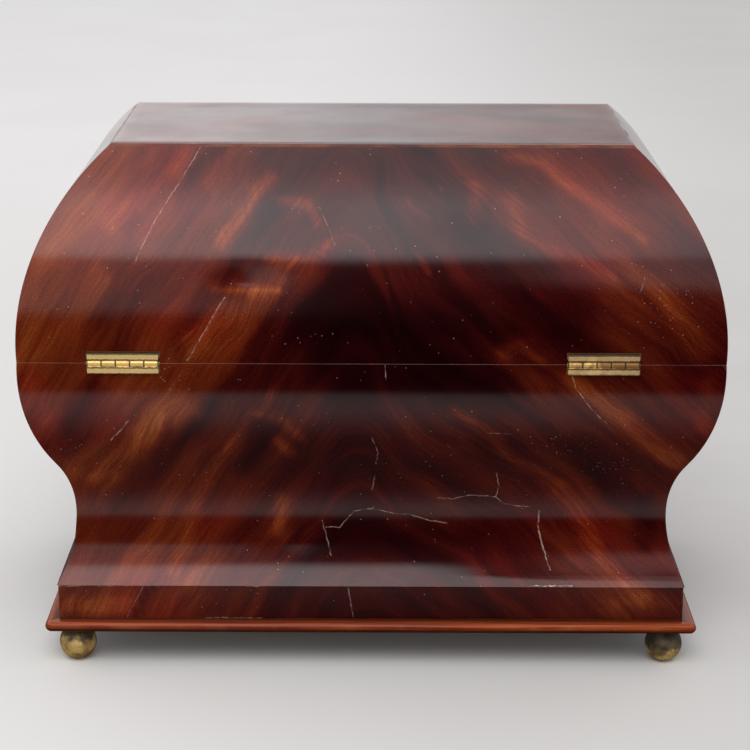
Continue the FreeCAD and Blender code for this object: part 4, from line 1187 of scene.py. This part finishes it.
def canister_finish():
    """Polished wood outside and tinfoil on the walls and floor inside."""
    material, tree, shader = new_material("canister_wood_foiled")
    place = object_place(tree)
    wood, fibres = wood_colour(tree, place, "Z", POLISHED)
    low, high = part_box("canister_right")
    wall = 4.2 * mm
    parts = place_node(tree, "ShaderNodeSeparateXYZ", {0: place}).outputs
    across = calc(tree, "ABSOLUTE", calc(tree, "SUBTRACT", calc(tree, "ABSOLUTE", parts[0]), (low.x + high.x) / 2))
    inside = calc(tree, "LESS_THAN", across, (high.x - low.x) / 2 - wall + 0.5 * mm)
    deep = calc(tree, "LESS_THAN", calc(tree, "ABSOLUTE", parts[1]), high.y - wall + 0.5 * mm)
    above = calc(tree, "GREATER_THAN", parts[2], low.z + 1 * mm)
    below = calc(tree, "LESS_THAN", parts[2], high.z - 0.05 * mm)
    foil = calc(tree, "MULTIPLY", calc(tree, "MULTIPLY", inside, deep), calc(tree, "MULTIPLY", above, below))
    creases = cloud(tree, place, 260.0, 3.0).outputs[0]
    dull = fade(tree, cloud(tree, place, 40.0, 3.0).outputs[0], 0.4, 0.7)
    tin = blend_colours(tree, dull, (0.42, 0.42, 0.43, 1.0), (0.23, 0.22, 0.20, 1.0))
    tree.links.new(blend_colours(tree, foil, wood, tin), shader.inputs["Base Color"])
    tree.links.new(calc(tree, "MULTIPLY", foil, 0.9), shader.inputs["Metallic"])
    rough = calc(tree, "MULTIPLY_ADD", foil, 0.15, fade(tree, fibres, 0.3, 0.7, 0.2, 0.34))
    tree.links.new(rough, shader.inputs["Roughness"])
    height = calc(tree, "MULTIPLY", creases, calc(tree, "MULTIPLY_ADD", foil, 3.0, 0.4))
    bump = place_node(tree, "ShaderNodeBump", {"Height": height, "Strength": 0.5, "Distance": 0.0002})
    tree.links.new(bump.outputs[0], shader.inputs["Normal"])
    return material


# %% [markdown]
# The brass has never been lacquered. Where it is touched it stays yellow, and elsewhere it
# turns brown and spotted. The tarnish group gives a broad brown mask and small dark spots,
# and each brass piece takes its own amount: one back foot is nearly black on top.

# %% Metals
def tarnish_group():
    tree, source, result = new_group(
        "tarnish",
        [("Place", VECTOR, None), ("Amount", NUMBER, 0.5), ("Scale", NUMBER, 120.0)],
        [("Brown", NUMBER), ("Spots", NUMBER), ("Scratches", NUMBER)],
    )
    place = source.outputs["Place"]
    broad = cloud(tree, place, 150.0, 4.0)
    tree.links.new(source.outputs["Scale"], broad.inputs["Scale"])
    level = calc(tree, "ADD", broad.outputs[0], calc(tree, "SUBTRACT", source.outputs["Amount"], 0.5))
    spots = cloud(tree, place, 900.0, 3.0).outputs[0]
    spots = fade(tree, calc(tree, "MULTIPLY_ADD", source.outputs["Amount"], 0.16, spots), 0.64, 0.72)
    lines = cloud(tree, calc_vector(tree, "MULTIPLY", place, (500.0, 2500.0, 2500.0)), 1.0, 2.0).outputs[0]
    tree.links.new(fade(tree, level, 0.42, 0.62), result.inputs["Brown"])
    tree.links.new(spots, result.inputs["Spots"])
    tree.links.new(lines, result.inputs["Scratches"])
    return tree


tarnish = tarnish_group()


knuckle_pitch = 6.0 * mm
groove_height = 1.72 * mm
bar_top = 3.7 * mm


def hinge_marks(tree, place, middle):
    """Dirt and painted shade in the gaps and grooves of a hinge and round its leaves, and the painted highlight of its
    pale bars.
    """
    parts = place_node(tree, "ShaderNodeSeparateXYZ", {0: place}).outputs
    along = calc(tree, "DIVIDE", calc(tree, "SUBTRACT", parts[0], middle), knuckle_pitch)
    nearest = calc(tree, "ABSOLUTE", calc(tree, "SUBTRACT", calc(tree, "FRACT", along), 0.5))
    ragged = calc(tree, "SUBTRACT", cloud(tree, place, 700.0, 2.0).outputs[0], 0.5)
    height = calc(tree, "ABSOLUTE", calc(tree, "SUBTRACT", parts[2], seam))
    height = calc(tree, "MULTIPLY_ADD", ragged, 0.6 * mm, height)
    # Dirt and painted shade: dark between the knuckles, along the groove below each bar and past the bars.
    joints = calc(tree, "MULTIPLY", fade(tree, nearest, 0.085, 0.03), fade(tree, height, groove_height, 0.0012))
    off_groove = calc(tree, "ABSOLUTE", calc(tree, "SUBTRACT", height, groove_height))
    dirt_and_gap_shade = calc(tree, "MAXIMUM", joints, fade(tree, off_groove, 0.0005, 0.0002))
    dirt_and_gap_shade = calc(tree, "MAXIMUM", dirt_and_gap_shade, fade(tree, height, bar_top, bar_top + 0.0004))
    return dirt_and_gap_shade, fade(tree, height, groove_height, groove_height + 0.0004)


def metal_finish(name, bright, brown, amount, gloss=0.25, shine=0.8, dark_top=None, hinge_at=None):
    """Bare metal with tarnish. dark_top is a height above which it goes nearly black."""
    material, tree, shader = new_material(name)
    place = object_place(tree)
    found = use_group(tree, tarnish, {"Place": place, "Amount": amount}).outputs
    colour = blend_colours(tree, found["Brown"], (*bright, 1.0), (*brown, 1.0))
    spots = calc(tree, "MULTIPLY", found["Spots"], 0.6 if hinge_at is None else 0.25)
    colour = blend_colours(tree, spots, colour, (0.02, 0.012, 0.006, 1.0))
    dark = spots
    if dark_top is not None:
        height = place_node(tree, "ShaderNodeSeparateXYZ", {0: place}).outputs[2]
        ragged = calc(tree, "MULTIPLY_ADD", cloud(tree, place, 170.0, 3.0).outputs[0], 0.012, height)
        crust = fade(tree, ragged, dark_top + 0.004, dark_top + 0.009)
        colour = blend_colours(tree, calc(tree, "MULTIPLY", crust, 0.92), colour, (0.012, 0.009, 0.007, 1.0))
        dark = calc(tree, "MAXIMUM", dark, crust)
    if hinge_at is not None:
        dirt_and_gap_shade, painted_bar_highlight = hinge_marks(tree, place, hinge_at)
        # The bars are painted paler as a highlight, and the gaps darker: soiling and painted shade.
        pale = blend_colours(tree, 0.4, colour, (0.95, 0.70, 0.34, 1.0))
        colour = blend_colours(tree, painted_bar_highlight, colour, pale)
        colour = blend_colours(tree, calc(tree, "MULTIPLY", dirt_and_gap_shade, 0.92), colour, (0.016, 0.009, 0.006, 1.0))
        dark = calc(tree, "MAXIMUM", dark, dirt_and_gap_shade)
    tree.links.new(colour, shader.inputs["Base Color"])
    tree.links.new(calc(tree, "MULTIPLY_ADD", dark, -0.6, shine), shader.inputs["Metallic"])
    rough = calc(tree, "MULTIPLY_ADD", found["Brown"], 0.14, gloss)
    rough = calc(tree, "MULTIPLY_ADD", dark, 0.3, rough)
    tree.links.new(rough, shader.inputs["Roughness"])
    height = calc(tree, "MULTIPLY_ADD", found["Spots"], -0.6, calc(tree, "MULTIPLY", found["Scratches"], 0.4))
    bump = place_node(tree, "ShaderNodeBump", {"Height": height, "Strength": 0.5, "Distance": 0.00005})
    tree.links.new(bump.outputs[0], shader.inputs["Normal"])
    return material


BROWN_BRASS = (0.30, 0.16, 0.05)
foot_brass = metal_finish("aged_brass_feet", (1.0, 0.68, 0.24), (0.36, 0.20, 0.06), 0.50, 0.26, 0.68, 0.0095)
dark_foot = metal_finish("aged_brass_dark_foot", (0.85, 0.58, 0.20), (0.22, 0.14, 0.05), 0.52, 0.28, 0.62, 0.0055)
hinge_middles = {}
for name in ("left", "right"):
    low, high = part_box(f"hinge_{name}_pin")
    hinge_middles[name] = (low.x + high.x) / 2
bright_hinge = metal_finish(
    "hinge_brass_clean", (0.98, 0.64, 0.22), (0.80, 0.46, 0.14), 0.40, 0.34, 0.6, hinge_at=hinge_middles["right"]
)
dull_hinge = metal_finish(
    "hinge_brass_dirty", (0.84, 0.54, 0.18), (0.30, 0.14, 0.04), 0.62, 0.36, 0.6, hinge_at=hinge_middles["left"]
)
screw_brass = metal_finish("screw_brass_dull", (0.60, 0.42, 0.16), BROWN_BRASS, 0.6, 0.34)
lock_brass = metal_finish("lock_brass_brushed", (0.72, 0.52, 0.21), (0.36, 0.23, 0.09), 0.48, 0.3)
filed_iron = metal_finish("filed_iron", (0.34, 0.32, 0.30), (0.16, 0.11, 0.08), 0.5, 0.34)
print("metals:", foot_brass.name, bright_hinge.name, filed_iron.name)

# %% [markdown]
# Bone, glass and velvet finish the inside. Bone is cream with fine dark canals. The bowl is
# clear blown glass, so only its ripples are nodes. Velvet is darker where its pile is pressed
# and has a sheen at its edges, which is set on the shader itself.

# %% Bone, glass and velvet
def bone_finish():
    material, tree, shader = new_material("turned_bone")
    place = object_place(tree)
    stretched = calc_vector(tree, "MULTIPLY", place, (1800.0, 1800.0, 260.0))
    canals = fade(tree, cloud(tree, stretched, 1.0, 2.0).outputs[0], 0.58, 0.68)
    yellow = cloud(tree, place, 130.0, 3.0).outputs[0]
    bone = blend_colours(tree, fade(tree, yellow, 0.35, 0.65), (0.78, 0.68, 0.50, 1.0), (0.62, 0.48, 0.29, 1.0))
    bone = blend_colours(tree, calc(tree, "MULTIPLY", canals, 0.5), bone, (0.24, 0.15, 0.08, 1.0))
    tree.links.new(bone, shader.inputs["Base Color"])
    tree.links.new(fade(tree, yellow, 0.3, 0.7, 0.22, 0.36), shader.inputs["Roughness"])
    bump = place_node(tree, "ShaderNodeBump", {"Height": canals, "Strength": 0.3, "Distance": 0.00005})
    tree.links.new(bump.outputs[0], shader.inputs["Normal"])
    shader.inputs["Subsurface Weight"].default_value = 0.1
    return material


def glass_finish():
    material, tree, shader = new_material("blown_glass")
    place = object_place(tree)
    ripples = cloud(tree, place, 70.0, 2.0).outputs[0]
    smear = cloud(tree, place, 45.0, 4.0).outputs[0]
    tree.links.new(fade(tree, smear, 0.45, 0.75, 0.02, 0.09), shader.inputs["Roughness"])
    tint = blend_colours(tree, smear, (0.95, 0.97, 0.95, 1.0), (0.90, 0.94, 0.92, 1.0))
    tree.links.new(tint, shader.inputs["Base Color"])
    bump = place_node(tree, "ShaderNodeBump", {"Height": ripples, "Strength": 0.25, "Distance": 0.0008})
    tree.links.new(bump.outputs[0], shader.inputs["Normal"])
    facing = place_node(tree, "ShaderNodeLayerWeight", {"Blend": 0.5}).outputs["Facing"]
    tree.links.new(fade(tree, facing, 0.3, 0.95, 0.28, 0.95), shader.inputs["Alpha"])
    shader.inputs["Transmission Weight"].default_value = 1.0
    shader.inputs["IOR"].default_value = 1.5
    return material


def velvet_finish():
    material, tree, shader = new_material("crimson_velvet")
    place = object_place(tree)
    pressed = fade(tree, cloud(tree, place, 34.0, 3.0).outputs[0], 0.38, 0.66)
    pile = cloud(tree, place, 3200.0, 2.0).outputs[0]
    cloth = blend_colours(tree, pressed, (0.105, 0.012, 0.018, 1.0), (0.052, 0.006, 0.010, 1.0))
    cloth = blend_colours(tree, fade(tree, pile, 0.4, 0.7, 0.0, 0.6), cloth, (0.17, 0.024, 0.032, 1.0))
    faded = fade(tree, cloud(tree, place, 9.0, 2.0).outputs[0], 0.5, 0.75, 0.0, 0.4)
    cloth = blend_colours(tree, faded, cloth, (0.17, 0.055, 0.035, 1.0))
    tree.links.new(cloth, shader.inputs["Base Color"])
    tree.links.new(fade(tree, pressed, 0.0, 1.0, 0.95, 0.8), shader.inputs["Roughness"])
    bump = place_node(tree, "ShaderNodeBump", {"Height": pile, "Strength": 0.6, "Distance": 0.0003})
    tree.links.new(bump.outputs[0], shader.inputs["Normal"])
    shader.inputs["Sheen Weight"].default_value = 0.7
    shader.inputs["Sheen Roughness"].default_value = 0.4
    shader.inputs["Sheen Tint"].default_value = (0.8, 0.35, 0.38, 1.0)
    shader.inputs["Specular IOR Level"].default_value = 0.1
    return material


velvet = velvet_finish()

# %% [markdown]
# The lining of the lid is cloth over a thin pad. It is a grid with a soft crown that sinks to
# nothing at its border, thickened upwards to lie against the board.

# %% Padded lining
def lining_pad():
    low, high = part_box("lid_lining")
    crown = 1.4 * mm
    bm = bmesh.new()
    bmesh.ops.create_cube(bm, size=1.0)
    bmesh.ops.scale(bm, vec=high - low, verts=bm.verts)
    bmesh.ops.translate(bm, vec=(low + high) / 2, verts=bm.verts)
    upright = [e for e in bm.edges if abs(e.verts[0].co.z - e.verts[1].co.z) > 1 * mm]
    bmesh.ops.bevel(
        bm, geom=upright, offset=6 * mm, offset_type="OFFSET", segments=5, profile=0.5,
        affect="EDGES", material=-1,
    )
    under = [e for e in bm.edges if all(v.co.z < low.z + 0.1 * mm for v in e.verts)]
    bmesh.ops.bevel(
        bm, geom=under, offset=1.2 * mm, offset_type="OFFSET", segments=3, profile=0.5,
        affect="EDGES", material=-1,
    )
    for axis, reach in ((0, high.x), (1, high.y)):
        cuts = round(2 * reach / (5 * mm))
        for step in range(1, cuts):
            co, no = Vector(), Vector()
            co[axis] = -reach + 2 * reach * step / cuts
            no[axis] = 1.0
            bmesh.ops.bisect_plane(bm, geom=bm.verts[:] + bm.edges[:] + bm.faces[:], plane_co=co, plane_no=no)
    for vert in bm.verts:
        if vert.co.z < low.z + 0.1 * mm:
            inward = min(high.x - abs(vert.co.x), high.y - abs(vert.co.y))
            swell = smoothstep(inward / (16 * mm))
            sag = 1 + 0.35 * noise.noise(Vector((vert.co.x * 40, vert.co.y * 40, 2.0)))
            vert.co.z -= crown * swell * sag
    bmesh.ops.triangulate(bm, faces=[f for f in bm.faces if len(f.verts) > 4])
    piece = to_object(bm, "lid_lining_pad", velvet)
    stand_for(piece, "lid_lining", "lid")
    return piece


print(lining_pad().name)

# %% [markdown]
# The pieces whose shape is already right keep it, and only their slots get these finishes.
# Boards of the two ends have their grain along Y, the others along X.

# %% Finishes on the frame's own pieces
finishes = {
    "banding": plain_wood("banding_polished", "X", POLISHED, 0.2),
    "canister_wood": canister_finish(),
    "screw_brass": screw_brass,
    "lock_brass": lock_brass,
    "iron": filed_iron,
    "bone": bone_finish(),
    "bowl_glass": glass_finish(),
    "velvet": velvet,
    "aged_brass": foot_brass,
    "hinge_brass": dull_hinge,
    "carcass_wood": plain_wood("carcass_softwood_long", "X", SOFTWOOD, 0.5),
}
softwood_across = plain_wood("carcass_softwood_across", "Y", SOFTWOOD, 0.5)
softwood_upright = plain_wood("carcass_softwood_partition", "Y", POLISHED, 0.3)
own_finish = {
    "foot_back_left": dark_foot,
    "foot_front_right": dark_foot,
    "hinge_right_case_leaf": bright_hinge,
    "hinge_right_lid_leaf": bright_hinge,
    "hinge_right_pin": bright_hinge,
    "case_left": softwood_across,
    "case_right": softwood_across,
    "lid_left": softwood_across,
    "lid_right": softwood_across,
    "partition_left": softwood_upright,
    "partition_right": softwood_upright,
}
dressed = 0
for part in frame["record"]["subparts"]:
    node = frame["nodes"][part["node"]]
    if not node.hide_render:
        finish = own_finish.get(part["node"], finishes.get(part["material_slot"]))
        node.material_slots[0].material = finish
        dressed += 1
print(dressed, "pieces of the frame have their own finish")

# %% [markdown]
# The chest stands on a pale floor, painted lighter towards +X and towards -Y behind the chest,
# as painted light. In a studio the pale table ends a little in front of a chest, and the room
# beyond is dark, which is what gives polished veneer its dark bands. Reflections see the floor
# that way, as a painted reflection that is darker close to the chest, a painted shadow, and the
# camera sees it pale all over.

# %% Floor
floor_reach = 3.0


def make_floor():
    material, tree, shader = new_material("pale_floor")
    place = object_place(tree)
    parts = place_node(tree, "ShaderNodeSeparateXYZ", {0: place}).outputs
    mottle = cloud(tree, place, 6.0, 4.0).outputs[0]
    # Painted light: the floor is painted lighter towards +X and towards -Y behind the chest, as the light falls off.
    side = fade(tree, parts[0], -0.24, 0.2)
    pale = blend_colours(tree, side, (0.60, 0.585, 0.57, 1.0), (0.76, 0.75, 0.735, 1.0))
    painted_far_light = calc(tree, "MULTIPLY", fade(tree, parts[1], -0.3, -1.3, 0.0, 0.75), fade(tree, parts[0], -0.5, 0.1, 0.3, 1.0))
    pale = blend_colours(tree, painted_far_light, pale, (0.93, 0.92, 0.91, 1.0))
    pale = blend_colours(tree, fade(tree, mottle, 0.35, 0.65, 0.0, 0.15), pale, (0.78, 0.77, 0.75, 1.0))
    beside = calc(tree, "SUBTRACT", calc(tree, "ABSOLUTE", parts[0]), half_width)
    before = calc(tree, "SUBTRACT", calc(tree, "ABSOLUTE", parts[1]), half_depth)
    away = calc(tree, "MAXIMUM", beside, before)
    # For reflections only, the floor is painted dark beyond a little in front of the chest, and darker close to it as a
    # painted shadow.
    near_floor_and_shade = calc(tree, "MULTIPLY", fade(tree, away, 0.035, 0.15, 0.10, 0.66), fade(tree, away, 0.27, 0.20))
    behind = calc(tree, "MULTIPLY", fade(tree, parts[1], -0.8, -1.1), fade(tree, beside, 0.9, 0.6))
    level = calc(tree, "MAXIMUM", near_floor_and_shade, behind)
    mirrored = place_node(tree, "ShaderNodeLightPath").outputs["Is Glossy Ray"]
    dim = calc(tree, "MULTIPLY", mirrored, calc(tree, "SUBTRACT", 1.0, level))
    tree.links.new(blend_colours(tree, dim, pale, (0.0, 0.0, 0.0, 1.0)), shader.inputs["Base Color"])
    shader.inputs["Roughness"].default_value = 0.9
    shader.inputs["Specular IOR Level"].default_value = 0.0
    bm = bmesh.new()
    bmesh.ops.create_grid(bm, x_segments=8, y_segments=8, size=floor_reach)
    mesh = bpy.data.meshes.new("floor")
    bm.to_mesh(mesh)
    bm.free()
    mesh.materials.append(material)
    floor = bpy.data.objects.new("floor", mesh)
    bpy.context.scene.collection.objects.link(floor)


make_floor()

# %% [markdown]
# The light is soft and comes from all round, with one large lamp up on the left of the view
# for a soft shadow. The polish mirrors a bright ceiling of light above twenty degrees and a
# dark room below it, and the flat top mirrors the pale wall behind.

# %% Light
def make_world():
    world = bpy.data.worlds.new("studio")
    bpy.context.scene.world = world
    world.use_nodes = True
    tree = world.node_tree
    tree.nodes.clear()
    direction = place_node(tree, "ShaderNodeTexCoord").outputs["Generated"]
    parts = place_node(tree, "ShaderNodeSeparateXYZ", {0: direction}).outputs
    bright = fade(tree, parts[2], 0.43, 0.54, 0.01, 2.7)
    dimming = fade(tree, parts[2], 0.80, 1.0, 1.0, 0.5)
    leftward = fade(tree, parts[0], -0.17, 0.06, 0.6, 1.0)
    bright = calc(tree, "MULTIPLY", calc(tree, "MULTIPLY", bright, dimming), leftward)
    wall_up = calc(tree, "MULTIPLY", fade(tree, parts[2], -0.12, -0.06), fade(tree, parts[2], 0.40, 0.32))
    wall = calc(tree, "MULTIPLY", wall_up, fade(tree, parts[1], -0.86, -0.93))
    wall = calc(tree, "MULTIPLY", wall, fade(tree, parts[0], -0.12, 0.10, 0.6, 1.1))
    slant = calc(tree, "MULTIPLY_ADD", parts[0], -0.15, parts[2])
    wall = calc(tree, "MULTIPLY", wall, fade(tree, slant, 0.145, 0.20, 1.0, 0.68))
    glow_up = calc(tree, "MULTIPLY", fade(tree, parts[2], -0.02, 0.12), fade(tree, parts[2], 0.60, 0.46))
    glow_across = calc(tree, "MULTIPLY", fade(tree, parts[0], 0.02, 0.10), fade(tree, parts[0], 0.45, 0.30))
    glow = calc(tree, "MULTIPLY", glow_up, calc(tree, "MULTIPLY", glow_across, fade(tree, parts[1], 0.5, 0.7)))
    drooped = calc(tree, "MULTIPLY_ADD", parts[0], -0.9, parts[2])
    dusk = calc(tree, "MULTIPLY", fade(tree, drooped, 0.32, 0.46), fade(tree, parts[2], 0.60, 0.46))
    dusk = calc(tree, "MULTIPLY", dusk, fade(tree, parts[0], -0.05, -0.11))
    glow = calc(tree, "MAXIMUM", calc(tree, "MULTIPLY", glow, 0.7), calc(tree, "MULTIPLY", dusk, 0.85))
    mirrored = calc(tree, "MAXIMUM", bright, calc(tree, "MAXIMUM", wall, glow))
    paths = place_node(tree, "ShaderNodeLightPath").outputs
    seen = calc(tree, "MAXIMUM", paths["Is Camera Ray"], paths["Is Transmission Ray"])
    level = calc(tree, "MULTIPLY_ADD", paths["Is Glossy Ray"], calc(tree, "SUBTRACT", mirrored, 0.8), 0.8)
    mixed = place_node(tree, "ShaderNodeMix", data_type="FLOAT")
    tree.links.new(seen, mixed.inputs[0])
    tree.links.new(level, mixed.inputs[2])
    mixed.inputs[3].default_value = 0.82
    background = place_node(tree, "ShaderNodeBackground", {"Color": (0.99, 0.985, 1.0, 1.0)})
    tree.links.new(mixed.outputs[0], background.inputs["Strength"])
    output = tree.nodes.new("ShaderNodeOutputWorld")
    tree.links.new(background.outputs[0], output.inputs[0])


def make_lamp(name, place, size, power):
    data = bpy.data.lights.new(name, "AREA")
    data.shape = "DISK"
    data.size = size
    data.energy = power
    lamp = bpy.data.objects.new(name, data)
    lamp.location = place
    lamp.rotation_mode = "QUATERNION"
    lamp.rotation_quaternion = (Vector((0, 0, 0.1)) - Vector(place)).to_track_quat("-Z", "Y")
    lamp.visible_glossy = False
    bpy.context.scene.collection.objects.link(lamp)


make_world()
make_lamp("key_lamp", (0.15, 1.55, 1.9), 1.6, 26.0)
make_lamp("low_lamp", (0.1, 2.2, 0.5), 0.9, 3.0)
print("lamp and surroundings ready")
